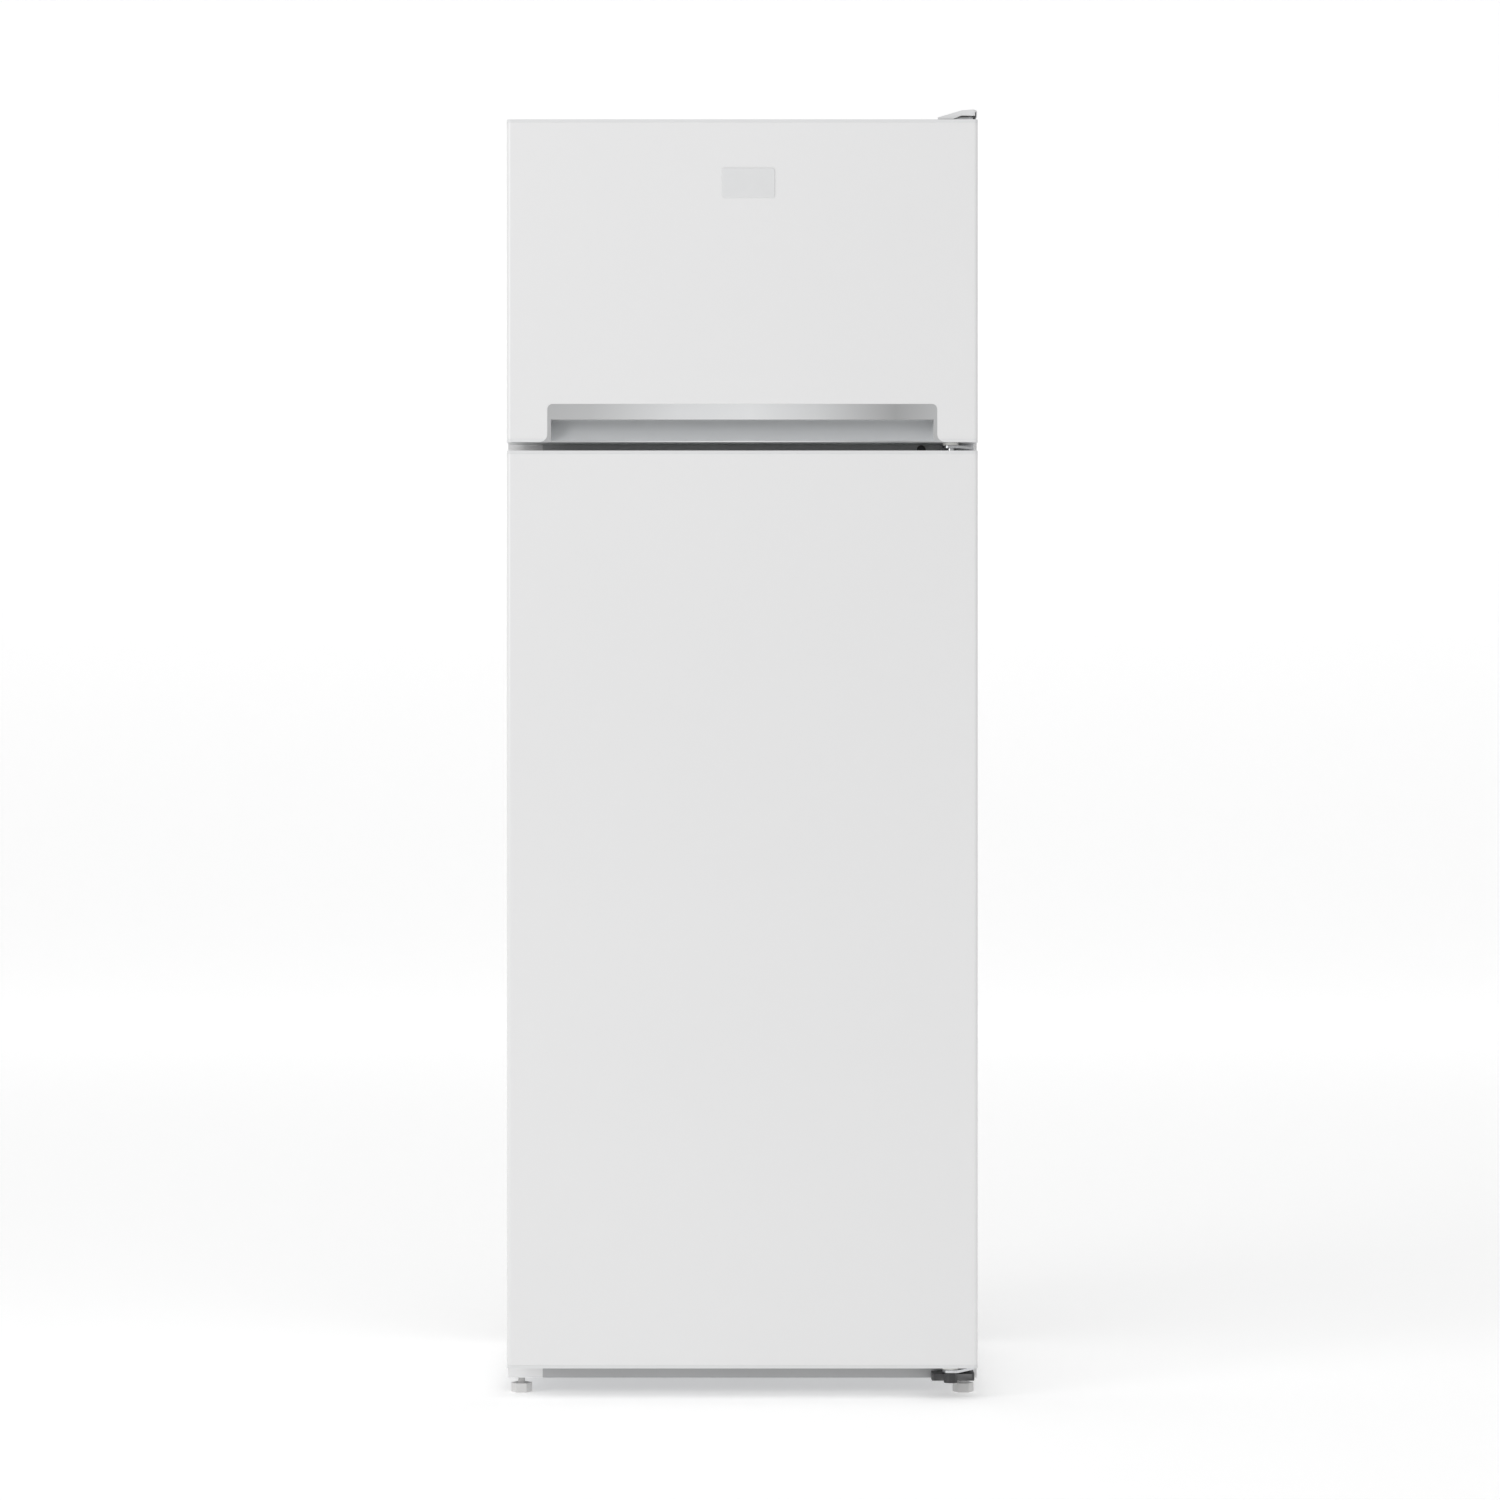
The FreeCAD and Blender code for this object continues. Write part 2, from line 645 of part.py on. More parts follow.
# ---------------------------------------------------------------------------------------------
# Shelves: glass on the liner ribs with a trim clipped to each front edge; freezer shelf; ice tray
# ---------------------------------------------------------------------------------------------
glass_sheets, glass_trims = [], []
for level, back in (("shelf_high", "shelf_back"), ("shelf_low", "shelf_back"),
                    ("crisper_cover", "step_front - 2")):
    glass_sheets.append(box(both("fridge_half - 2"), ("shelf_front", back),
                            (level, f"{level} + glass")))
    edge = Moulding("shelf_trim").pad("x", [rectangle(
        ("shelf_front - 4", "shelf_front + 14"),
        (f"{level} + glass + 2.5 - trim_high", f"{level} + glass + 2.5"))], *both("fridge_half - 9"))
    edge.round("2", lambda bounds: sideways(bounds) and bounds.YMax < value("shelf_front"))
    slot = box(both("fridge_half"), ("shelf_front", "shelf_front + 20"), (level, f"{level} + glass"))
    under = box(both("fridge_half"), ("shelf_front + 2", "shelf_front + 20"),
                (f"{level} - trim_high", f"{level} - 2.5"))
    glass_trims.append(cut(edge.body, slot, under))
node("shelf_glasses", group(*glass_sheets))
node("shelf_trims", group(*glass_trims))

slots = Moulding("freezer_shelf").pad(
    "z", [rectangle(both("freezer_half - 2"), ("shelf_front", "shelf_back"))],
    "freezer_shelf", "freezer_shelf + 6")
slots.round("1.5", lambda bounds: sideways(bounds) and bounds.YMax < value("shelf_front") + 1)
slots.pocket("z", [rectangle(("-freezer_half + 22", "-freezer_half + 30"),
                             ("shelf_front + 24", "shelf_back - 24"))],
             "freezer_shelf - 1", "freezer_shelf + 7")
slots.repeat("H_Axis", "2 * freezer_half - 52", 18)
node("freezer_shelf", slots.body)

ice = Moulding("ice_tray").pad("z", [rectangle(("-190", "-90"), ("-90", "130"))],
                               "freezer_shelf + 6.3", "freezer_shelf + 40")
ice.round("6", upright)
ice.pocket("z", [rectangle(("-186", "-142"), ("-86", "-53"))],
           "freezer_shelf + 10", "freezer_shelf + 40")
ice.repeat("V_Axis", "36 * 5", 6)
ice.pocket("z", [rectangle(("-138", "-94"), ("-86", "-53"))],
           "freezer_shelf + 10", "freezer_shelf + 40")
ice.repeat("V_Axis", "36 * 5", 6)
node("ice_tray", ice.body)

# ---------------------------------------------------------------------------------------------
# Control housing under the fridge ceiling: thermostat knob, lamp, and the door switch plunger
# ---------------------------------------------------------------------------------------------
plunger_wide = both("plunger_wide / 2")
plunger_slot = both("plunger_wide / 2 + run")
plunger_z = ("plunger_level - plunger_wide / 2", "plunger_level + plunger_wide / 2")
house = Moulding("thermostat_housing").pad(
    "z", [rectangle(both("house_half"), ("house_front", "house_back"))], "house_low", "fridge_ceiling")
house.round("8", upright)
house.round("3", flat_at("Z", "house_low"))
house.pocket("z", [rectangle(both("house_half - house_wall"),
                             ("house_front + house_wall", "house_back - house_wall"))],
             "house_low + house_wall", "fridge_ceiling")
house.pocket("y", [rectangle(plunger_slot, ("plunger_level - plunger_wide / 2 - run",
                                            "plunger_level + plunger_wide / 2 + run"))],
             "house_front - 1", "house_front + house_wall + 1")
house.pocket("z", [rectangle(("-house_half + 14", "-house_half + 74"),
                             ("house_front + 18", "house_back - 18")),
                   ("knob_side", "knob_deep", "4 + run")],
             "house_low - 1", "house_low + house_wall + 1")
node("thermostat_housing", house.body)

lens = Moulding("lamp_lens").pad("z", [rectangle(
    ("-house_half + 14", "-house_half + 74"), ("house_front + 18", "house_back - 18"))],
    "house_low - 5", "house_low + house_wall")
lens.round("3", flat_at("Z", "house_low - 5"))
lens.pocket("z", [rectangle(("-house_half + 16", "-house_half + 72"),
                            ("house_front + 20", "house_back - 20"))],
            "house_low - 3", "house_low + house_wall")
node("lamp_lens", lens.body)

bulb = Moulding("lamp_bulb").turn([("0", "0"), ("7", "2"), ("11", "9"), ("11", "15"), ("7", "26"),
                                   ("7", "38"), ("0", "38")])
place(bulb.body, "-house_half + 44", "(house_front + house_back) / 2", "fridge_ceiling - 38")
node("lamp_bulb", bulb.body)

knob = Moulding("thermostat_knob").turn([
    ("0", "-knob_high"), ("knob_dia / 2 - 2", "-knob_high"), ("knob_dia / 2", "-knob_high + 2"),
    ("knob_dia / 2", "0"), ("4", "0"), ("4", "house_wall + 4"), ("0", "house_wall + 4")])
knob.pocket("z", [rectangle(both("1.2"), ("knob_dia / 8", "knob_dia / 2 - 3"))],
            "-knob_high - 1", "-knob_high + 1")
place(knob.body, "knob_side", "knob_deep", "house_low - run")
node("thermostat_knob", knob.body)

dyke_back = f"{door_back} + dyke_deep"
plunger = Moulding("door_switch_plunger").pad(
    "y", [rectangle(plunger_wide, plunger_z)], f"{dyke_back} + seal_clear", "house_front + 16")
plunger.round("1.5", flat_at("Y", f"{dyke_back} + seal_clear"))
node("door_switch_plunger", plunger.body)

# ---------------------------------------------------------------------------------------------
# Doors: skin, foam, end caps, liner with a raised rim, gasket and hinge bushes
# ---------------------------------------------------------------------------------------------


def door_block(inset, low, high):
    """A length of the door's outline, shrunk by an inset, with its upright edges rounded."""
    block = Moulding("door_block").pad("z", [rectangle(
        both(f"door_width / 2 - {inset}"), (f"{door_front} + {inset}", f"{door_back} - {inset}"))],
        low, high)
    front = value(f"{door_front} + {inset}") + TINY
    block.round(f"door_round - {inset}", lambda b: upright(b) and b.YMax < front)
    return block.round(f"back_round - {inset}", lambda b: upright(b) and b.YMin > front).body


def bush_body(deep, flange):
    """A blind nylon cup for a hinge pin, opening downwards, with a thrust flange below if any."""
    bore = "pin_dia / 2 + pin_play"
    profile = [(bore, "0"), ("bush_dia / 2", "0"), ("bush_dia / 2", deep), ("0", deep),
               ("0", f"{deep} - 1.5"), (bore, f"{deep} - 1.5")]
    if flange:
        profile = [(bore, f"-({flange})"), ("bush_dia / 2 + 2", f"-({flange})"),
                   ("bush_dia / 2 + 2", "0")] + profile[1:]
    return Moulding("hinge_bush").turn(profile).body


def door_rack(half_x, back, level, tall):
    """One open rack whose end hooks sit on the lugs of the door liner."""
    rack = Moulding("rack").pad("z", [rectangle(both(half_x), (back, "rack_front"))],
                                level, f"{level} + {tall}")
    rack.round("10", lambda b: upright(b) and b.YMin > value("rack_front") - TINY)
    rack.round("3", flat_at("Z", level))
    rack.pocket("z", [rectangle(both(f"{half_x} - rack_wall"),
                                (f"{back} + rack_wall", "rack_front - rack_wall"))],
                f"{level} + rack_wall", f"{level} + {tall}")
    hooks = [box(span(side, f"{half_x} - rack_wall / 2", f"{half_x} + rack_gap - run"),
                 (f"{door_back} + 11", f"{door_back} + 13 + lug_deep"),
                 (f"{level} + {tall} - 30 + lug_high + run", f"{level} + {tall} - 2"))
             for side in (-1, 1)]
    return fuse(rack.body, *hooks)


grip_low, grip_top = "freezer_door_low", "freezer_door_low + grip_high"
grip_back = f"{door_front} + grip_deep"
grip_block = Moulding("grip_block").pad("x", [[
    (door_front, grip_low), (f"{grip_back} - 6", grip_low), (grip_back, f"{grip_low} + 10"),
    (grip_back, f"{grip_top} - 6"), (f"{grip_back} - 6", grip_top), (door_front, grip_top)]],
    *both("grip_half"))
grip_block.round("6", lambda b: lengthways(b) and b.ZMin > value(grip_top) - TINY)
flares = [cut(box(span(side, "grip_half - 1", "grip_half + grip_flare - 1.5"),
                  (door_front, f"{door_front} + grip_wall"), (grip_low, f"{grip_low} + grip_flare")),
              rod("y", "grip_flare", (f"{side} * (grip_half + grip_flare)", f"{grip_low} + grip_flare"),
                  f"{door_front} - 1", f"{door_front} + grip_wall + 1")) for side in (-1, 1)]
grip_fill = fuse(grip_block.body, *flares)
bowl_deep, bowl_high = "(grip_deep - 3.5)", "(grip_open + 1.5)"
bowl = [(f"{door_front} + {bowl_deep} * sin({turn})",
         f"{grip_low} + {bowl_high} - ({bowl_high} - grip_lip) * cos({turn})")
        for turn in range(0, 91, 10)]
scoop = Moulding("scoop").pad("x", [[
    (f"{door_front} - 1", f"{grip_low} + grip_lip"), *bowl, (f"{door_front} + 22", f"{grip_low} + 35"),
    (f"{door_front} + 15", f"{grip_low} + 40"), (f"{door_front} + 8", f"{grip_low} + 38"),
    (f"{door_front} + 3.5", f"{grip_low} + 32"), (f"{door_front} + 3.5", f"{grip_low} + grip_open"),
    (f"{door_front} - 1", f"{grip_low} + grip_open")]], *both("grip_half - grip_wall"))
node("handle_trim", cut(grip_fill, scoop.body))

DOORS = {
    "freezer_door": {
        "low": "freezer_door_low", "high": "freezer_door_top",
        "opening": ("freezer_half", "freezer_floor", "freezer_ceiling"),
        "seal": ("freezer_floor - 2 - seal_wide", "freezer_ceiling + 2 + seal_wide"),
        "racks": {"freezer_racks": ("55", ["freezer_floor + 24", "freezer_floor + 158"])},
    },
    "fridge_door": {
        "low": "fridge_door_low", "high": "fridge_door_top",
        "opening": ("fridge_half", "fridge_floor", "fridge_ceiling"),
        "seal": ("fridge_floor - 2 - seal_wide", "fridge_ceiling + 2 + seal_wide"),
        "racks": {"bottle_rack": ("95", ["fridge_floor + 24"]),
                  "fridge_racks": ("70", ["rack_low", "rack_middle", "rack_high"])},
    },
}
for word, door in DOORS.items():
    low, high = door["low"], door["high"]
    hollow, floor, ceiling = door["opening"]
    grip = [grip_fill] if word == "freezer_door" else []
    rim = f"{hollow} - dyke_gap"
    rim_z = (f"{floor} + dyke_gap", f"{ceiling} - dyke_gap")
    liner_half = "seal_out + 3"
    liner_z = (f"{door['seal'][0]} - 2", f"{door['seal'][1]} + 2")

    # liner: a flat border, a hollow raised rim inside it, and lugs that carry the racks
    border = box(both(liner_half), (f"{door_back} - wall", door_back), liner_z)
    ring = Moulding("rim").pad("y", [rectangle(both(rim), rim_z), rectangle(
        both(f"{rim} - dyke_wide"), (f"{rim_z[0]} + dyke_wide", f"{rim_z[1]} - dyke_wide"))],
        f"{door_back} - wall", dyke_back)
    ring.round("dyke_round", flat_at("Y", dyke_back))
    core = frame_box(f"{rim} - wall", (f"{rim_z[0]} + wall", f"{rim_z[1]} - wall"),
                     "(dyke_wide - 2 * wall)", (f"{door_back} - wall", f"{dyke_back} - dyke_round"))
    lugs = [box(span(side, f"{rim} - dyke_wide - 5", f"{rim} - dyke_wide + wall / 2"),
                (f"{door_back} + 12", f"{door_back} + 12 + lug_deep"),
                (f"{level} + {tall} - 30", f"{level} + {tall} - 30 + lug_high"))
            for tall, levels in door["racks"].values() for level in levels for side in (-1, 1)]
    node(f"{word}_liner", fuse(cut(fuse(border, ring.body), core), *lugs))

    # hinge bushes: thrust flange at the bottom of each door, plain cup at the top
    gap = "freezer_door_low - (fridge_door_top + freezer_door_low) / 2 - plate / 2 - run"
    lower_bush = bush_body("bush_deep", gap)
    place(lower_bush, "hinge_side", hinge_y, low)
    upper_bush = bush_body("bush_deep", None)
    upper_bush.Placement.Rotation = Rotation(AXES["x"], 180)
    place(upper_bush, "hinge_side", hinge_y, high)
    node(f"{word}_bushes", group(lower_bush, upper_bush))
    seats = [rod("z", "bush_dia / 2", ("hinge_side", hinge_y), f"{low} - 1", f"{low} + bush_deep"),
             rod("z", "bush_dia / 2", ("hinge_side", hinge_y), f"{high} - bush_deep",
                 f"{high} + 1")]

    # skin: wrapped round the front and sides and folded in behind, open where the liner sits
    inside = (f"{low} + cap_edge", f"{high} - cap_edge")
    back_hole = box(both(liner_half), (f"{door_back} - wall", f"{door_back} + 1"), liner_z)
    node(f"{word}_skin", cut(door_block("0", *inside), door_block("steel", *inside), back_hole,
                             *grip))

    # end caps: a visible band and a plug wall pushed into the skin
    caps = []
    for edge, plug in (
            ((low, f"{low} + cap_edge"), (f"{low} + cap_edge", f"{low} + cap_plug")),
            ((f"{high} - cap_edge", high), (f"{high} - cap_plug", f"{high} - cap_edge"))):
        wall = cut(door_block("steel", *plug), door_block("(steel + cap_wall)", *plug),
                   box(both(half), (f"{door_back} - wall - steel", door_back), plug))
        caps.append(cut(fuse(door_block("0", *edge), wall), *seats, *grip))
    node(f"{word}_caps", group(*caps))

    fill = cut(door_block("steel", *inside), back_hole)
    node(f"{word}_foam", cut(fuse(fill, core), *caps, *seats, *grip))

    # gasket: foot on the liner border, narrow bellows, then the magnet strip facing the cabinet
    seal_back = f"{cab_front} - seal_clear"
    seal_z = door["seal"]
    foot = frame_box("seal_out", seal_z, "seal_wide", (door_back, f"{door_back} + 3"))
    neck = frame_box("(seal_out - 3)", (f"{seal_z[0]} + 3", f"{seal_z[1]} - 3"),
                     "(seal_wide - 6)", (f"{door_back} + 3", f"{seal_back} - 4"))
    head = frame_box("(seal_out - 0.5)", (f"{seal_z[0]} + 0.5", f"{seal_z[1]} - 0.5"),
                     "(seal_wide - 1)", (f"{seal_back} - 4", seal_back))
    node(f"{word}_gasket", fuse(foot, neck, head))

    # racks hung on the liner lugs
    rack_half = f"{rim} - dyke_wide - rack_gap"
    back = f"{door_back} + 2"
    for rack_word, (tall, levels) in door["racks"].items():
        node(rack_word, group(*[door_rack(rack_half, back, level, tall) for level in levels]))

egg_level = "rack_high + rack_wall + run"
egg_half = "fridge_half - dyke_gap - dyke_wide - rack_gap - rack_wall - 4"
eggs = Moulding("egg_tray").pad("z", [rectangle(
    both(egg_half), (f"{door_back} + 2 + rack_wall + 2", "rack_front - rack_wall - 10"))],
    egg_level, f"{egg_level} + 22")
eggs.round("5", upright)
for row_y in (f"{door_back} + 27", f"{door_back} + 65"):
    eggs.pocket("z", [(f"-({egg_half}) + 26", row_y, "17")], f"{egg_level} + 4", f"{egg_level} + 22")
    eggs.repeat("H_Axis", f"2 * ({egg_half}) - 52", 7)
node("egg_tray", eggs.body)

badge_x = ("badge_side - badge_wide / 2", "badge_side + badge_wide / 2")
badge_z = ("badge_level - badge_high / 2", "badge_level + badge_high / 2")
badge = Moulding("badge").pad("y", [rectangle(badge_x, badge_z)], front_most, door_front)
badge.round("3", lengthways)
node("badge", badge.body)

# ---------------------------------------------------------------------------------------------
# Crisper drawer: one moulding with a lip to pull it by
# ---------------------------------------------------------------------------------------------
drawer_z = ("fridge_floor + run", "fridge_floor + drawer_high")
drawer = Moulding("crisper_drawer").pad(
    "z", [rectangle(both("drawer_half"), ("drawer_front", "drawer_back"))], *drawer_z)
drawer.round("12", upright)
drawer.round("5", flat_at("Z", drawer_z[0]))
drawer.pocket("z", [rectangle(both("drawer_half - drawer_wall"),
                              ("drawer_front + drawer_wall", "drawer_back - drawer_wall"))],
              f"{drawer_z[0]} + drawer_wall", drawer_z[1])
drawer.pocket("y", [rectangle(both("60"), (f"{drawer_z[1]} - 26", f"{drawer_z[1]} + 1"))],
              "drawer_front - 1", "drawer_front + drawer_wall + 1")
node("crisper_drawer", drawer.body)

# ---------------------------------------------------------------------------------------------
# Hinges: three plates with riveted pins, the cover over the top one and the base of the lowest
# ---------------------------------------------------------------------------------------------


def hinge_plate(level, pin_low, pin_high, flange_z):
    """A plate with a rounded nose round the pin and an edge turned against the cabinet front."""
    plate = Moulding("hinge_plate").pad("z", [[
        ("plate_in", f"{cab_front} - flange"), ("plate_in", f"{hinge_y} + 4"),
        ("hinge_side - 6", f"{hinge_y} - 9"), ("hinge_side + 8", f"{hinge_y} - 9"),
        ("plate_out", f"{hinge_y} + 22"), ("plate_out", f"{cab_front} - flange")]],
        f"{level} - plate", level)
    plate.round("4", lambda b: upright(b) and b.YMax < value(f"{cab_front} - flange") - TINY)
    edge = box(("plate_in", "plate_out"), (f"{cab_front} - flange", cab_front), flange_z)
    pin = rod("z", "pin_dia / 2", ("hinge_side", hinge_y), pin_low, pin_high)
    return cut(fuse(plate.body, edge, pin), *screws)


pin_in = "(bush_deep - 2)"
middle_top = f"{between_doors} + plate / 2"
node("middle_hinge_bracket", hinge_plate(
    middle_top, f"fridge_door_top - {pin_in}", f"freezer_door_low + {pin_in}",
    (f"{between_doors} - flange_half", f"{between_doors} + flange_half")))
node("bottom_hinge_bracket", hinge_plate(
    bottom_plate_top, f"{bottom_plate_top} - plate", f"fridge_door_low + {pin_in}",
    ("cab_low + 1", bottom_plate_top)))

joggle_top = "cab_top + joggle + top_plate"
joggle = Moulding("top_hinge").pad("x", [[
    (f"{cab_front} + 46", "cab_top"), (f"{cab_front} + 46", "cab_top + top_plate"),
    (f"{cab_front} + 7", "cab_top + top_plate"), (f"{cab_front} + 2", joggle_top),
    (f"{hinge_y} - 7", joggle_top), (f"{hinge_y} - 7", "cab_top + joggle"),
    (f"{cab_front} + 1", "cab_top + joggle"), (f"{cab_front} + 6", "cab_top")]],
    "plate_in + 2", "plate_out - 3")
joggle.round("5", upright)
top_pin = rod("z", "pin_dia / 2", ("hinge_side", hinge_y), f"freezer_door_top - {pin_in}",
              joggle_top)
node("top_hinge_bracket", cut(fuse(joggle.body, top_pin), *screws))

cover_y = (f"{hinge_y} - 13", f"{cab_front} + 54")
cover = Moulding("cover_block").pad("y", [[
    ("cover_in", "cab_top"), ("cover_out", "cab_top"), ("cover_out", "cover_top - 1.5"),
    ("cover_out - 4", "cover_top"), ("cover_in + 27", "cover_top - 1"),
    ("cover_in", "cab_top + 5")]], *cover_y)
cover.round("6", lambda b: upright(b) and b.XMin > value("cover_out") - TINY)
hollow_shape = [[
    ("cover_in + cover_wall", "cab_top - 1"), ("cover_out - cover_wall", "cab_top - 1"),
    ("cover_out - cover_wall", "cover_top - 1.5 - cover_wall"),
    ("cover_in + 27", "cover_top - 1 - cover_wall"),
    ("cover_in + cover_wall", "cab_top + 5 - cover_wall")]]
hollow_cover = Moulding("hollow").pad("y", hollow_shape, f"{cover_y[0]} + cover_wall",
                                      f"{cover_y[1]} - cover_wall")
over_door = box(("cover_in - 1", "cover_out + 1"), (f"{cover_y[0]} - 1", f"{cab_front} + 1"),
                ("cab_top - 1", "freezer_door_top + 1"))
arch = Moulding("arch").pad("y", [[
    ("cover_in + 15", "freezer_door_top"), ("cover_out + 1", "freezer_door_top"),
    ("cover_out + 1", "freezer_door_top + 4.6"), ("cover_in + 27", "freezer_door_top + 4.8")]],
    f"{cover_y[0]} - 1", f"{cab_front} - 12")
node("top_hinge_cover", cut(cover.body, hollow_cover.body, over_door, arch.body))

base = Moulding("hinge_base").pad("z", [rectangle(
    ("plate_in - 12", "plate_out"), (f"{hinge_y} + 14", f"{cab_front} - flange"))],
    "cab_low + 0.5", f"{bottom_plate_top} - plate - 4")
base.round("3", upright)
boss = rod("z", "8", ("hinge_side", hinge_y), "cab_low + 0.5", f"{bottom_plate_top} - plate",
           "6")
web = box(("hinge_side - 5", "hinge_side + 5"), (hinge_y, f"{hinge_y} + 16"),
          ("cab_low + 0.5", f"{bottom_plate_top} - plate - 4"))
rest = box(("plate_in + 2", "plate_out - 4"), (f"{cab_front} - 8", f"{cab_front} - flange"),
           ("cab_low + 2", f"{bottom_plate_top} - plate"))
node("bottom_hinge_base", fuse(base.body, boss, web, rest))

plugs = [rod("y", "plug_dia / 2", ("plug_side", between_doors), f"{cab_front} - 1.5", cab_front)]
plugs += [rod("z", "plug_dia / 2", (f"-({text})", f"{cab_front} + 30"), "cab_top", "cab_top + 1.5")
          for text in screw_sides]
node("blanking_plugs", group(*plugs))

# ---------------------------------------------------------------------------------------------
# Condenser: one serpentine tube with wires welded along both faces, on spacers at the back
# ---------------------------------------------------------------------------------------------
bends = []
for row in range(CONDENSER_ROWS):
    ends = ["cond_half", "-cond_half"] if row % 2 == 0 else ["-cond_half", "cond_half"]
    bends += [(end, cond_y, f"cond_low + cond_step * {row}") for end in ends]
serpentine = pipe("tube_dia / 2", *bends)
wires = []
for index in range(CONDENSER_WIRES):
    across = f"-cond_half + 25 + (2 * cond_half - 50) * {index} / {CONDENSER_WIRES - 1}"
    for face in ("+", "-"):
        wires.append(rod("z", "wire_dia / 2", (across, f"{cond_y} {face} (tube_dia + wire_dia) / 2"),
                         "cond_low - 10", f"{cond_top} + 10"))
node("condenser", group(serpentine, *wires))
spacers = []
for side in (-1, 1):
    for row in (1, CONDENSER_ROWS - 2):
        level = f"cond_low + cond_step * {row}"
        spacers.append(cut(box(span(side, "cond_half - 20", "cond_half - 8"), (cab_back, back_most),
                               (f"{level} - 9", f"{level} + 9")), serpentine))
node("condenser_spacers", group(*spacers))

# ---------------------------------------------------------------------------------------------
# Machine bay: base with roller brackets, compressor on grommets, drain pan, relay box with inlet
# ---------------------------------------------------------------------------------------------
deck_top = "base_low + base_thick"
deck_y = ("bay_front + 13", f"{cab_back} - 5")
deck = box(both(inner_half), deck_y, ("base_low", deck_top))
ends = [box(span(side, f"{inner_half} - base_thick", inner_half), deck_y,
            ("base_low", "base_low + 40")) for side in (-1, 1)]
cheeks, wells, axles = [], [], []
for side in (-1, 1):
    wells.append(box(
        span(side, "roller_side - roller_wide / 2 - 2", "roller_side + roller_wide / 2 + 2"),
        ("roller_deep - roller_dia / 2 - 3", "roller_deep + roller_dia / 2 + 3"),
        ("base_low - 1", f"{deck_top} + 1")))
    for near in ("roller_side - roller_wide / 2 - 4", "roller_side + roller_wide / 2 + 2"):
        cheeks.append(box(span(side, near, f"{near} + 2"), ("roller_deep - 9", "roller_deep + 9"),
                          ("roller_dia / 2 - 7", deck_top)))
    axles.append(rod("x", "axle_dia / 2", ("roller_deep", "roller_dia / 2"),
                     *span(side, "roller_side - roller_wide / 2 - 6",
                           "roller_side + roller_wide / 2 + 6")))
    roller = Moulding("roller").turn([
        ("axle_dia / 2 + pin_play", "-roller_wide / 2"), ("roller_dia / 2 - 2", "-roller_wide / 2"),
        ("roller_dia / 2", "-roller_wide / 2 + 2"), ("roller_dia / 2", "roller_wide / 2 - 2"),
        ("roller_dia / 2 - 2", "roller_wide / 2"), ("axle_dia / 2 + pin_play", "roller_wide / 2")])
    roller.body.Placement.Rotation = Rotation(AXES["z"], AXES["x"])
    place(roller.body, f"{side} * roller_side", "roller_deep", "roller_dia / 2")
    node("roller_left" if side < 0 else "roller_right", roller.body)
node("roller_axles", group(*axles))
node("compressor_base", cut(fuse(cut(deck, *wells), *ends, *cheeks), *axles, *bolts))

grommets = []
for across in ("comp_side - comp_foot_x", "comp_side + comp_foot_x"):
    for deep in ("comp_deep - comp_foot_y", "comp_deep + comp_foot_y"):
        rubber = Moulding("grommet").turn([
            ("bolt_dia / 2 + pin_play", "0"), ("10", "0"), ("10", "5"), ("7.5", "8"), ("7.5", "12"),
            ("10", "14"), ("10", f"comp_low - ({deck_top})"),
            ("bolt_dia / 2 + pin_play", f"comp_low - ({deck_top})")])
        place(rubber.body, across, deep, deck_top)
        grommets.append(rubber.body)
node("grommets", group(*grommets))

pot = Moulding("shell").turn([
    ("0", "0"), (f"{shell} - 20", "0"), (f"{shell} - 5", "12"), (shell, "30"), (shell, "62"),
    (f"{shell} + 3", "64"), (f"{shell} + 3", "68"), (shell, "70"), (shell, "comp_high - 44"),
    (f"{shell} - 6", "comp_high - 22"), (f"{shell} - 24", "comp_high - 6"),
    (f"{shell} - 40", "comp_high"), ("0", "comp_high")])
place(pot.body, "comp_side", "comp_deep", "comp_low")
feet_plate = cut(box(("comp_side - comp_foot_x - 14", "comp_side + comp_foot_x + 14"),
                     ("comp_deep - comp_foot_y - 12", "comp_deep + comp_foot_y + 12"),
                     ("comp_low", "comp_low + plate")), *bolts)
node("compressor", fuse(pot.body, feet_plate))

pan_low = "comp_low + comp_high"
pan_limits = (("comp_side - 72", "comp_side + 72"), ("comp_deep - 60", "comp_deep + 62"))
pan = Moulding("evaporation_pan").pad("z", [rectangle(*pan_limits)], pan_low, f"{pan_low} + 26")
pan.round("10", upright)
pan.pocket("z", [rectangle(*[(f"{low} + 2", f"{high} - 2") for low, high in pan_limits])],
           f"{pan_low} + 2", f"{pan_low} + 26")
node("evaporation_pan", pan.body)
node("drain_tube", cut(
    rod("z", "8.5", ("comp_side", "liner_back - 22"), f"{pan_low} + 10", "step_top - wall"),
    rod("z", "6", ("comp_side", "liner_back - 22"), f"{pan_low} + 9", "step_top")))

relay_x = (f"comp_side - {shell} - 34", f"comp_side - {shell} + 14")
relay = Moulding("relay_block").pad("z", [rectangle(relay_x, ("comp_deep - 20", "comp_deep + 38"))],
                                  "comp_low + 36", "comp_low + 104")
relay.round("5", lengthways)
relay.pad("y", [(f"comp_side - {shell} - 16", "comp_low + 56", "8")],
          "comp_deep + 38", "comp_deep + 48")
relay.pocket("y", [(f"comp_side - {shell} - 16", "comp_low + 56", "4")],
             "comp_deep + 30", "comp_deep + 48")
node("relay_box", cut(relay.body, rod("z", f"{shell} + 3 + run", ("comp_side", "comp_deep"),
                                      "comp_low", "comp_low + 110")))

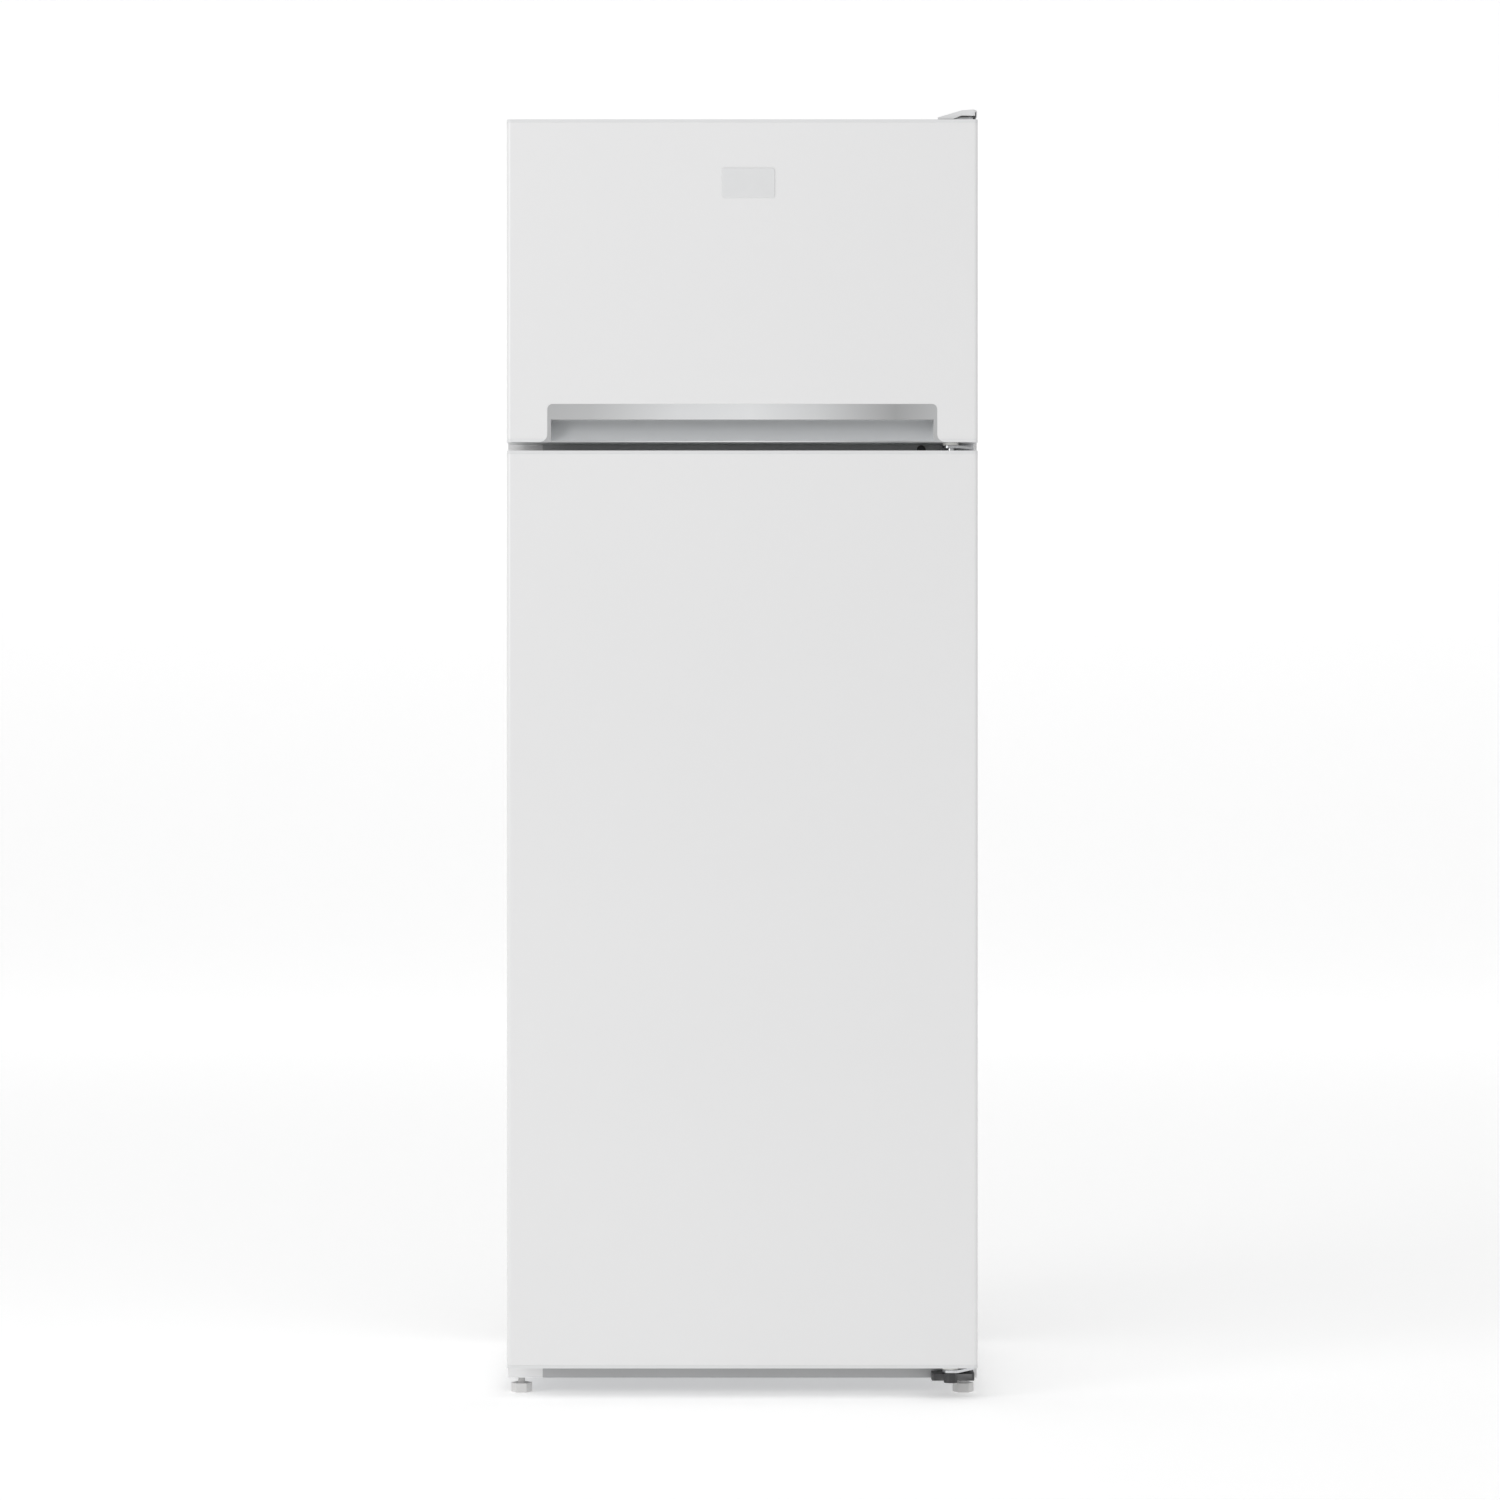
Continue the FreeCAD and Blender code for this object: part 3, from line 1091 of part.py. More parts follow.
# ---------------------------------------------------------------------------------------------
# Levelling feet: a hexagonal foot on a screw stem, through the front rail
# ---------------------------------------------------------------------------------------------
flat = "foot_flat / 2"
corner = "foot_flat / sqrt(3)"
HEXAGON = [(corner, "0"), (f"{corner} / 2", flat), (f"-({corner}) / 2", flat), (f"-({corner})", "0"),
           (f"-({corner}) / 2", f"-({flat})"), (f"{corner} / 2", f"-({flat})")]
for side, word in ((-1, "left"), (1, "right")):
    foot = Moulding(f"foot_{word}").pad("z", [HEXAGON], "0", "foot_high")
    foot.round("1", flat_at("Z", "0"), "Chamfer")
    foot.pad("z", [("0", "0", "stem_dia / 2")], "foot_high", "cab_low + 8.5")
    place(foot.body, f"{side} * foot_side", foot_y, "0")
    node(f"foot_{word}", foot.body)

# ---------------------------------------------------------------------------------------------
# Everything is recomputed and checked, then each sub-part is written to its own file
# ---------------------------------------------------------------------------------------------
DOC.recompute()
for item in DOC.Objects:
    if {"Invalid", "Error"} & set(item.State):
        raise ValueError(f"{item.Label}: {item.State}")
for item in NODES:
    if item.Shape.isNull() or not item.Shape.isValid():
        raise ValueError(f"{item.Label}: no valid shape")

os.makedirs("parts", exist_ok=True)
for item in NODES:
    item.Shape.exportStep(f"parts/{item.Label}.step")
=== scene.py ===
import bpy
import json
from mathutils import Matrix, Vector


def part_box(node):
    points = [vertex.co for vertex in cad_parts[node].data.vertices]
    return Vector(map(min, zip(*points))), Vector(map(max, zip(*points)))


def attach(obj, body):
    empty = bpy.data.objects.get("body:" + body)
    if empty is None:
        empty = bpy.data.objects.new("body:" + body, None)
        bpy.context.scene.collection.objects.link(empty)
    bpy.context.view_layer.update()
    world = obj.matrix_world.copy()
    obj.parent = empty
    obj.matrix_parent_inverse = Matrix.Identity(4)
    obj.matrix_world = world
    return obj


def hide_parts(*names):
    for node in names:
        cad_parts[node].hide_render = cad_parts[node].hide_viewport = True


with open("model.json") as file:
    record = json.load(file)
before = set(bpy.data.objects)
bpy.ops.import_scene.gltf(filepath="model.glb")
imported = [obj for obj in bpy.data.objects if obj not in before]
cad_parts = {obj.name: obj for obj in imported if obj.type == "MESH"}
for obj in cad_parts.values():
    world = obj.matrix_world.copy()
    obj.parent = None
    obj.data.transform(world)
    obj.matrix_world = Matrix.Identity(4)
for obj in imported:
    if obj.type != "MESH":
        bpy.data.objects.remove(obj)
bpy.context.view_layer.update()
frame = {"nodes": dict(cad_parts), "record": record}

import json
import math

import bmesh
import bpy
from mathutils import Vector

NODES = frame["nodes"]
BODY_OF = {node: body for body, nodes in frame["record"]["behaviour"]["bodies"].items() for node in nodes}

# ---------------------------------------------------------------------------------------------
# Outer skins: doors, sides and top.  Pre-painted sheet steel, folded round its edges, with the
# faint orange peel that roller-coated white enamel has.
# ---------------------------------------------------------------------------------------------


def new_group(name, inputs, outputs):
    """An empty shader group with named float, colour or vector sockets."""
    group = bpy.data.node_groups.new(name, "ShaderNodeTree")
    for label, kind, start in inputs:
        socket = group.interface.new_socket(label, in_out="INPUT", socket_type=kind)
        socket.default_value = start
    for label, kind in outputs:
        group.interface.new_socket(label, in_out="OUTPUT", socket_type=kind)
    entry = group.nodes.new("NodeGroupInput")
    leave = group.nodes.new("NodeGroupOutput")
    return group, entry, leave


def feed(tree, socket, source):
    """Sets an input socket to a number or colour, or links it to another node's output."""
    if isinstance(source, bpy.types.NodeSocket):
        tree.links.new(source, socket)
    else:
        socket.default_value = source


def math_node(tree, operation, *sources, clamp=False):
    """A math node's result; each source is a number or an output socket."""
    made = tree.nodes.new("ShaderNodeMath")
    made.operation = operation
    made.use_clamp = clamp
    for socket, source in zip(made.inputs, sources):
        feed(tree, socket, source)
    return made.outputs["Value"]


def blend_node(tree, factor, under, over, way="MIX"):
    """One colour laid over another."""
    made = tree.nodes.new("ShaderNodeMix")
    made.data_type = "RGBA"
    made.blend_type = way
    for label, source in (("Factor", factor), ("A", under), ("B", over)):
        feed(tree, made.inputs[label], source)
    return made.outputs["Result"]


def noise_node(tree, vector, scale, detail):
    """A noise texture's grey value, with its scale taken from a socket."""
    noise = tree.nodes.new("ShaderNodeTexNoise")
    noise.inputs["Detail"].default_value = detail
    tree.links.new(vector, noise.inputs["Vector"])
    tree.links.new(scale, noise.inputs["Scale"])
    return noise.outputs["Fac"]


# broad, slow change of colour over a surface, the duller patches that handling leaves, paler
# worn edges, and dust on whatever faces up
WORN_FROM, WORN_TO = 0.52, 0.62
DUST_COLOUR = (0.33, 0.31, 0.28, 1)
uneven, entry, leave = new_group(
    "uneven_finish",
    [("Colour", "NodeSocketColor", (1, 1, 1, 1)), ("Shade", "NodeSocketColor", (1, 1, 1, 1)),
     ("Scale", "NodeSocketFloat", 6.0), ("Roughness", "NodeSocketFloat", 0.4),
     ("Spread", "NodeSocketFloat", 0.1), ("Wear", "NodeSocketFloat", 0.3),
     ("Dust", "NodeSocketFloat", 0.0)],
    [("Colour", "NodeSocketColor"), ("Roughness", "NodeSocketFloat")])
place = uneven.nodes.new("ShaderNodeTexCoord")
clouds = noise_node(uneven, place.outputs["Object"], entry.outputs["Scale"], 4.0)
clouded = blend_node(uneven, clouds, entry.outputs["Colour"], entry.outputs["Shade"])
shape = uneven.nodes.new("ShaderNodeNewGeometry")
edges = uneven.nodes.new("ShaderNodeMapRange")
edges.inputs["From Min"].default_value = WORN_FROM
edges.inputs["From Max"].default_value = WORN_TO
uneven.links.new(shape.outputs["Pointiness"], edges.inputs["Value"])
rubbed = math_node(uneven, "MULTIPLY", edges.outputs["Result"], entry.outputs["Wear"])
worn = blend_node(uneven, rubbed, clouded, (0.5, 0.5, 0.5, 1), "SCREEN")
facing = uneven.nodes.new("ShaderNodeSeparateXYZ")
uneven.links.new(shape.outputs["Normal"], facing.inputs["Vector"])
upward = uneven.nodes.new("ShaderNodeMapRange")
upward.inputs["From Min"].default_value = 0.3
uneven.links.new(facing.outputs["Z"], upward.inputs["Value"])
settled = math_node(uneven, "MULTIPLY", upward.outputs["Result"], entry.outputs["Dust"])
dusty = blend_node(uneven, settled, worn, DUST_COLOUR)
uneven.links.new(dusty, leave.inputs["Colour"])
finer = math_node(uneven, "MULTIPLY", entry.outputs["Scale"], 7.0)
smears = noise_node(uneven, place.outputs["Object"], finer, 6.0)
centred = math_node(uneven, "SUBTRACT", smears, 0.5)
spread = math_node(uneven, "MULTIPLY_ADD", centred, entry.outputs["Spread"],
                   entry.outputs["Roughness"])
duller = math_node(uneven, "MULTIPLY_ADD", settled, 0.5, spread, clamp=True)
uneven.links.new(duller, leave.inputs["Roughness"])

# fine relief in two sizes: a soft swell, and a grain twelve times finer
relief, entry, leave = new_group(
    "fine_relief",
    [("Scale", "NodeSocketFloat", 300.0), ("Grain", "NodeSocketFloat", 0.3),
     ("Stretch", "NodeSocketVector", (1, 1, 1))],
    [("Height", "NodeSocketFloat")])
place = relief.nodes.new("ShaderNodeTexCoord")
stretched = relief.nodes.new("ShaderNodeVectorMath")
stretched.operation = "MULTIPLY"
relief.links.new(place.outputs["Object"], stretched.inputs[0])
relief.links.new(entry.outputs["Stretch"], stretched.inputs[1])
swell = noise_node(relief, stretched.outputs["Vector"], entry.outputs["Scale"], 1.0)
finer = math_node(relief, "MULTIPLY", entry.outputs["Scale"], 12.0)
grain = noise_node(relief, stretched.outputs["Vector"], finer, 2.0)
added = math_node(relief, "MULTIPLY_ADD", grain, entry.outputs["Grain"], swell)
relief.links.new(added, leave.inputs["Height"])


def finish(name, colour, shade, roughness, spread=0.06, scale=5.0, texture=300.0, depth=0.00002,
           grain=0.3, stretch=(1, 1, 1), wear=0.3, dust=0.0, **plain):
    """One material: uneven colour and gloss, fine relief, and plain Principled values."""
    made = bpy.data.materials.new(name)
    made.use_nodes = True
    tree = made.node_tree
    shader = tree.nodes["Principled BSDF"]
    tone = tree.nodes.new("ShaderNodeGroup")
    tone.node_tree = uneven
    tone.inputs["Colour"].default_value = (*colour, 1)
    tone.inputs["Shade"].default_value = (*shade, 1)
    tone.inputs["Scale"].default_value = scale
    tone.inputs["Roughness"].default_value = roughness
    tone.inputs["Spread"].default_value = spread
    tone.inputs["Wear"].default_value = wear
    tone.inputs["Dust"].default_value = dust
    tree.links.new(tone.outputs["Colour"], shader.inputs["Base Color"])
    tree.links.new(tone.outputs["Roughness"], shader.inputs["Roughness"])
    skin = tree.nodes.new("ShaderNodeGroup")
    skin.node_tree = relief
    skin.inputs["Scale"].default_value = texture
    skin.inputs["Grain"].default_value = grain
    skin.inputs["Stretch"].default_value = stretch
    bump = tree.nodes.new("ShaderNodeBump")
    bump.inputs["Distance"].default_value = depth
    bump.inputs["Strength"].default_value = 1.0
    tree.links.new(skin.outputs["Height"], bump.inputs["Height"])
    tree.links.new(bump.outputs["Normal"], shader.inputs["Normal"])
    for socket, amount in plain.items():
        shader.inputs[socket.replace("_", " ")].default_value = amount
    return made


def stand_in(name, data, node, material=None):
    """A finished mesh that stands for a CAD node, on the node's body, given the material if one is
    passed; the node is hidden.
    """
    if material:
        data.materials.clear()
        data.materials.append(material)
    piece = bpy.data.objects.new(name, data)
    bpy.context.scene.collection.objects.link(piece)
    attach(piece, BODY_OF[node])
    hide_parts(node)
    return piece


WELD = 0.00001                  # corners closer than this are one
FLAT = math.radians(1.0)        # faces that meet at less than this are one
SHARP = math.radians(35)        # edges sharper than this are eased


def eased(node, edge, material, steps=2):
    """A CAD node's mesh with its sharp edges eased, standing for the node on the same body."""
    data = NODES[node].data.copy()
    data.name = f"{node}_eased"
    work = bmesh.new()
    work.from_mesh(data)
    bmesh.ops.remove_doubles(work, verts=work.verts, dist=WELD)
    bmesh.ops.dissolve_limit(work, angle_limit=FLAT, verts=work.verts, edges=work.edges)
    for face in work.faces:
        face.smooth = True
    work.to_mesh(data)
    work.free()
    data.materials.clear()
    data.materials.append(material)
    rough = bpy.data.objects.new(f"{node}_rough", data)
    bpy.context.scene.collection.objects.link(rough)
    bevel = rough.modifiers.new("eased_edges", "BEVEL")
    bevel.width = edge
    bevel.segments = steps
    bevel.limit_method = "ANGLE"
    bevel.angle_limit = SHARP
    bevel.use_clamp_overlap = True
    even = rough.modifiers.new("even_normals", "WEIGHTED_NORMAL")
    even.weight = 80
    depsgraph = bpy.context.evaluated_depsgraph_get()
    smooth = bpy.data.meshes.new_from_object(rough.evaluated_get(depsgraph))
    smooth.name = f"{node}_mesh"
    bpy.data.objects.remove(rough)
    return stand_in(f"{node}_piece", smooth, node)


enamel = finish("white_enamel", (0.86, 0.86, 0.862), (0.84, 0.84, 0.842), 0.24, texture=420.0,
                depth=0.000012, grain=0.15, scale=2.5, Coat_Weight=0.35, Coat_Roughness=0.08)
for node in ("freezer_door_skin", "fridge_door_skin", "side_panel_left", "side_panel_right",
             "top_panel"):
    eased(node, 0.0003, enamel)

# ---------------------------------------------------------------------------------------------
# Cabinet sheets that show at the back and below: zinc-coated steel with its faint spangle,
# and the grey painted rail under the front.
# ---------------------------------------------------------------------------------------------
zinc_sheet = finish("galvanised_sheet", (0.50, 0.51, 0.52), (0.38, 0.39, 0.41), 0.42, spread=0.3,
                    scale=30.0, texture=90.0, depth=0.00003, grain=0.5, dust=0.5, Metallic=0.85)
for node in ("back_panel", "base_panel", "compressor_base"):
    eased(node, 0.0003, zinc_sheet)
front_steel = finish("front_frame_steel", (0.60, 0.61, 0.62), (0.52, 0.53, 0.54), 0.35, scale=12.0,
                     texture=300.0, depth=0.00001)
eased("divider_rail", 0.0003, front_steel)
grey_paint = finish("grey_rail_paint", (0.46, 0.465, 0.47), (0.41, 0.415, 0.42), 0.45, scale=9.0,
                    texture=500.0, depth=0.00002)
eased("base_rail", 0.0004, grey_paint)

# ---------------------------------------------------------------------------------------------
# Insulation: foam blown in between the skins and the liners, cream coloured with cut cells.
# It is sealed in, so it keeps its plain CAD shape.
# ---------------------------------------------------------------------------------------------


def dress(node, material):
    """Gives a CAD node a material."""
    data = NODES[node].data
    data.materials.clear()
    data.materials.append(material)


foam = finish("insulating_foam", (0.72, 0.60, 0.36), (0.62, 0.50, 0.28), 0.9, texture=900.0,
              depth=0.0003, grain=0.8)
for node in ("cabinet_foam", "freezer_door_foam", "fridge_door_foam"):
    dress(node, foam)

# ---------------------------------------------------------------------------------------------
# Liners: sheets of white polystyrene drawn over a mould, glossy and softly waved by the forming.
# Two line the cabinet and carry the shelves; one backs each door and carries its racks.
# ---------------------------------------------------------------------------------------------
liner_plastic = finish("liner_plastic", (0.80, 0.81, 0.81), (0.76, 0.77, 0.775), 0.22, scale=4.0,
                       texture=60.0, depth=0.00006, grain=0.05, Coat_Weight=0.15)
for node, edge in (("fridge_liner", 0.0015), ("freezer_liner", 0.0015),
                   ("freezer_door_liner", 0.0012), ("fridge_door_liner", 0.0012)):
    eased(node, edge, liner_plastic, steps=3)

# ---------------------------------------------------------------------------------------------
# Door trims: end caps moulded in white plastic, a silver painted handle trim with a bright lip,
# and a blank badge plate.  The lip's colour carries a painted reflection, and the scoop's a
# painted shade that darkens it towards its top.
# ---------------------------------------------------------------------------------------------
cap_plastic = finish("cap_plastic", (0.80, 0.805, 0.81), (0.77, 0.775, 0.78), 0.30, scale=8.0,
                     texture=1200.0, depth=0.00002)
for node in ("freezer_door_caps", "fridge_door_caps"):
    eased(node, 0.0008, cap_plastic, steps=3)
eased("top_hinge_cover", 0.0006, cap_plastic, steps=3)
satin_silver = finish("satin_silver", (0.92, 0.935, 0.945), (0.87, 0.885, 0.90), 0.34,
                      spread=0.08, scale=40.0, texture=2500.0, depth=0.000006, Metallic=0.1,
                      Coat_Weight=0.3, Coat_Roughness=0.1)
trim = eased("handle_trim", 0.0010, satin_silver, steps=3)
strip_silver = finish("strip_silver", (0.90, 0.91, 0.915), (0.85, 0.86, 0.87), 0.3, spread=0.06,
                      texture=1800.0, depth=0.000005, stretch=(0.02, 1, 1), Metallic=0.35,
                      Coat_Weight=0.5, Coat_Roughness=0.06)


def paint_light_ramp(material, axis, stops):
    """Paints light and shade into a material's colour by multiplying it by greys set along one axis of
    the piece.
    """
    tree = material.node_tree
    shader = tree.nodes["Principled BSDF"]
    along = tree.nodes.new("ShaderNodeTexCoord")
    split = tree.nodes.new("ShaderNodeSeparateXYZ")
    tree.links.new(along.outputs["Generated"], split.inputs["Vector"])
    greys = tree.nodes.new("ShaderNodeValToRGB")
    (low, first), *between, (high, last) = stops
    for element, where, grey in ((0, low, first), (1, high, last)):
        greys.color_ramp.elements[element].position = where
        greys.color_ramp.elements[element].color = (grey, grey, grey, 1)
    for where, grey in between:
        greys.color_ramp.elements.new(where).color = (grey, grey, grey, 1)
    tree.links.new(split.outputs[axis], greys.inputs["Fac"])
    # the greys are painted light and shade, not a colour the material has
    plain = shader.inputs["Base Color"].links[0].from_socket
    light_painted = blend_node(tree, 1.0, plain, greys.outputs["Color"], "MULTIPLY")
    tree.links.new(light_painted, shader.inputs["Base Color"])


# painted reflection: the lip's colour is brightest near its middle and darker towards both ends, like a
# soft box mirrored in it
paint_light_ramp(strip_silver, "X", ((0.0, 0.60), (0.12, 0.66), (0.34, 0.94), (0.52, 1.0), (0.68, 0.84),
                          (0.88, 0.48), (1.0, 0.66)))
# painted shade: the trim's colour darkens towards its top, where the lip above shades the scoop
paint_light_ramp(satin_silver, "Z", ((0.05, 1.0), (0.30, 0.92), (0.62, 0.60)))
trim.data.materials.append(strip_silver)
STRIP_DEPTH = 0.0006
trim_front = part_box("handle_trim")[0].y
for face in trim.data.polygons:
    if face.center.y < trim_front + STRIP_DEPTH:
        face.material_index = 1
badge_plate = finish("badge_plate", (0.80, 0.805, 0.81), (0.76, 0.765, 0.77), 0.2, scale=60.0,
                     texture=900.0, depth=0.00001, Coat_Weight=0.4)
eased("badge", 0.0005, badge_plate, steps=3)

# ---------------------------------------------------------------------------------------------
# Gaskets: extruded soft grey vinyl with a magnet inside, mitred and welded at its corners.
# One profile, with a folded bellows at each side, runs round each door's liner.
# ---------------------------------------------------------------------------------------------
gasket_vinyl = finish("gasket_vinyl", (0.60, 0.61, 0.62), (0.54, 0.55, 0.56), 0.55, scale=20.0,
                      texture=700.0, depth=0.00004)
GASKET_WIDE = 14.0      # in millimetres, like the profile: in from its outer side, back from its front
GASKET_DEEP = 11.6
BELLOWS = ((0.7, 0.2), (0.0, 1.0), (0.4, 2.6), (2.4, 3.1), (4.0, 3.6), (3.1, 4.6), (5.0, 5.4),
           (3.4, 6.4), (4.2, 7.3), (1.2, 7.8), (0.5, 8.5), (0.5, 10.8), (1.2, 11.5), (6.2, 11.6),
           (7.0, 11.3))
for node in ("freezer_door_gasket", "fridge_door_gasket"):
    low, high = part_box(node)
    profile = list(BELLOWS) + [(GASKET_WIDE - wide, deep) for wide, deep in reversed(BELLOWS[:-1])]
    ring = bmesh.new()
    loops = []
    for wide, deep in profile:
        inward = wide / 1000
        y = low.y + deep / GASKET_DEEP * (high.y - low.y)
        loops.append([ring.verts.new(corner) for corner in (
            (low.x + inward, y, low.z + inward), (high.x - inward, y, low.z + inward),
            (high.x - inward, y, high.z - inward), (low.x + inward, y, high.z - inward))])
    for index, loop in enumerate(loops):
        following = loops[(index + 1) % len(loops)]
        for corner in range(4):
            after = (corner + 1) % 4
            ring.faces.new((loop[corner], loop[after], following[after], following[corner]))
    bmesh.ops.recalc_face_normals(ring, faces=ring.faces)
    ring_mesh = bpy.data.meshes.new(f"{node}_mesh")
    ring.to_mesh(ring_mesh)
    ring.free()
    stand_in(f"{node}_piece", ring_mesh, node, gasket_vinyl)

# ---------------------------------------------------------------------------------------------
# Inside: toughened glass shelves with white edging, the moulded freezer shelf, the ice and egg
# trays, clear door racks and the crisper drawer.  All of them slide or lift in by hand.
# ---------------------------------------------------------------------------------------------
shelf_glass = finish("shelf_glass", (0.80, 0.93, 0.90), (0.76, 0.91, 0.88), 0.03, spread=0.02,
                     texture=8.0, depth=0.0000002, grain=0.0, wear=0.0, Transmission_Weight=1.0,
                     IOR=1.45)
eased("shelf_glasses", 0.0006, shelf_glass)
edging = finish("shelf_edging", (0.78, 0.80, 0.82), (0.74, 0.76, 0.79), 0.28, texture=900.0,
                depth=0.00002)
eased("shelf_trims", 0.0008, edging, steps=3)
eased("freezer_shelf", 0.0006, edging)
ice_blue = finish("ice_tray_plastic", (0.55, 0.72, 0.84), (0.50, 0.68, 0.82), 0.38, texture=800.0,
                  depth=0.00003, Transmission_Weight=0.25)
eased("ice_tray", 0.0008, ice_blue, steps=3)
clear_plastic = finish("clear_rack_plastic", (0.95, 0.975, 0.985), (0.92, 0.955, 0.97), 0.12,
                       spread=0.04, texture=60.0, depth=0.000004, grain=0.1, wear=0.0,
                       Transmission_Weight=0.7, IOR=1.25)
for node in ("freezer_racks", "fridge_racks", "bottle_rack"):
    eased(node, 0.0008, clear_plastic)
drawer_plastic = finish("crisper_plastic", (0.88, 0.94, 0.965), (0.84, 0.91, 0.95), 0.16,
                        spread=0.04, texture=70.0, depth=0.000004, grain=0.1, wear=0.0,
                        Transmission_Weight=0.6, IOR=1.25)
eased("crisper_drawer", 0.0009, drawer_plastic)
egg_plastic = finish("egg_tray_plastic", (0.84, 0.86, 0.87), (0.80, 0.82, 0.84), 0.35,
                     texture=900.0, depth=0.00002, Transmission_Weight=0.2)
eased("egg_tray", 0.0008, egg_plastic, steps=3)

# ---------------------------------------------------------------------------------------------
# Control housing: a satin white moulding under the liner's ceiling, with the lamp's bulb and
# frosted lens, the thermostat knob, and the plunger that the door pushes to put the lamp out.
# ---------------------------------------------------------------------------------------------
housing_plastic = finish("housing_plastic", (0.78, 0.79, 0.79), (0.74, 0.75, 0.755), 0.42,
                         texture=1500.0, depth=0.00003)
eased("thermostat_housing", 0.0006, housing_plastic, steps=3)
lens_plastic = finish("lamp_lens_plastic", (0.90, 0.92, 0.93), (0.86, 0.88, 0.90), 0.32,
                      texture=400.0, depth=0.0001, Transmission_Weight=0.6)
eased("lamp_lens", 0.0005, lens_plastic)
bulb_glass = finish("lamp_bulb_glass", (0.93, 0.91, 0.84), (0.90, 0.88, 0.80), 0.3, texture=500.0,
                    depth=0.00002, Transmission_Weight=0.4)
eased("lamp_bulb", 0.0005, bulb_glass)
knob_plastic = finish("knob_plastic", (0.70, 0.71, 0.72), (0.64, 0.65, 0.67), 0.45,
                      texture=1200.0, depth=0.00004)
eased("thermostat_knob", 0.0005, knob_plastic, steps=3)
eased("door_switch_plunger", 0.0005, knob_plastic)

# ---------------------------------------------------------------------------------------------
# Hinges and fasteners: brackets of bright zinc plate, nylon bushes and rollers, the screws and
# bolts that hold them, and the mouldings in dark plastic: hinge base, hole plugs and relay box.
# ---------------------------------------------------------------------------------------------
bright_zinc = finish("bright_zinc", (0.66, 0.67, 0.68), (0.55, 0.56, 0.58), 0.22, spread=0.25,
                     scale=60.0, texture=500.0, depth=0.00002, Metallic=1.0)
for node in ("top_hinge_bracket", "middle_hinge_bracket", "bottom_hinge_bracket",
             "roller_axles"):
    eased(node, 0.0004, bright_zinc)


def size_tree(name, sizes):
    """A Geometry Nodes tree: geometry in, named sizes in, geometry out."""
    tree = bpy.data.node_groups.new(name, "GeometryNodeTree")
    tree.interface.new_socket("Geometry", in_out="INPUT", socket_type="NodeSocketGeometry")
    for label, start in sizes.items():
        kind = "NodeSocketInt" if isinstance(start, int) else "NodeSocketFloat"
        tree.interface.new_socket(label, in_out="INPUT", socket_type=kind).default_value = start
    tree.interface.new_socket("Geometry", in_out="OUTPUT", socket_type="NodeSocketGeometry")
    return tree, tree.nodes.new("NodeGroupInput"), tree.nodes.new("NodeGroupOutput")


def step_on(tree, kind, source, **plain):
    """Adds a geometry node fed from a socket, with plain values for its other inputs."""
    made = tree.nodes.new(kind)
    tree.links.new(source, made.inputs[0])
    for label, amount in plain.items():
        made.inputs[label.replace("_", " ")].default_value = amount
    return made


def rod(tree, sides, radius, depth):
    """An upright cylinder; its radius and depth are numbers or output sockets."""
    made = tree.nodes.new("GeometryNodeMeshCylinder")
    made.inputs["Vertices"].default_value = sides
    feed(tree, made.inputs["Radius"], radius)
    feed(tree, made.inputs["Depth"], depth)
    return made.outputs["Mesh"]


def finish_tree(tree, source, leave, material):
    """Ends a tree: instances made real, material set."""
    real = step_on(tree, "GeometryNodeRealizeInstances", source)
    painted = step_on(tree, "GeometryNodeSetMaterial", real.outputs[0], Material=material)
    tree.links.new(painted.outputs[0], leave.inputs[0])


def grown(name, verts, edges, tree, sizes, attributes=None):
    """The plain mesh that a tree makes from points and edges, with its named sizes set."""
    start = bpy.data.meshes.new(f"{name}_points")
    start.from_pydata(verts, edges, [])
    for label, amounts in (attributes or {}).items():
        wide = isinstance(amounts[0], (tuple, list))
        layer = start.attributes.new(label, "FLOAT_VECTOR" if wide else "FLOAT", "POINT")
        layer.data.foreach_set("vector" if wide else "value",
                               [part for amount in amounts for part in amount] if wide else amounts)
    holder = bpy.data.objects.new(f"{name}_grower", start)
    bpy.context.scene.collection.objects.link(holder)
    maker = holder.modifiers.new("grow", "NODES")
    maker.node_group = tree
    for item in tree.interface.items_tree:
        if item.in_out == "INPUT" and item.name in sizes:
            maker[item.identifier] = sizes[item.name]
    depsgraph = bpy.context.evaluated_depsgraph_get()
    result = bpy.data.meshes.new_from_object(holder.evaluated_get(depsgraph))
    holder.modifiers.remove(maker)
    bpy.data.objects.remove(holder)
    result.name = f"{name}_mesh"
    return result


def islands(node):
    """The bounding box of each separate solid of a CAD node."""
    work = bmesh.new()
    work.from_mesh(NODES[node].data)
    bmesh.ops.remove_doubles(work, verts=work.verts, dist=WELD)
    reached, found = set(), []
    for first in work.verts:
        if first in reached:
            continue
        reached.add(first)
        batch, queue = [], [first]
        while queue:
            vert = queue.pop()
            batch.append(vert.co.copy())
            for edge in vert.link_edges:
                other = edge.other_vert(vert)
                if other not in reached:
                    reached.add(other)
                    queue.append(other)
        found.append((Vector(map(min, *batch)), Vector(map(max, *batch))))
    work.free()
    return found


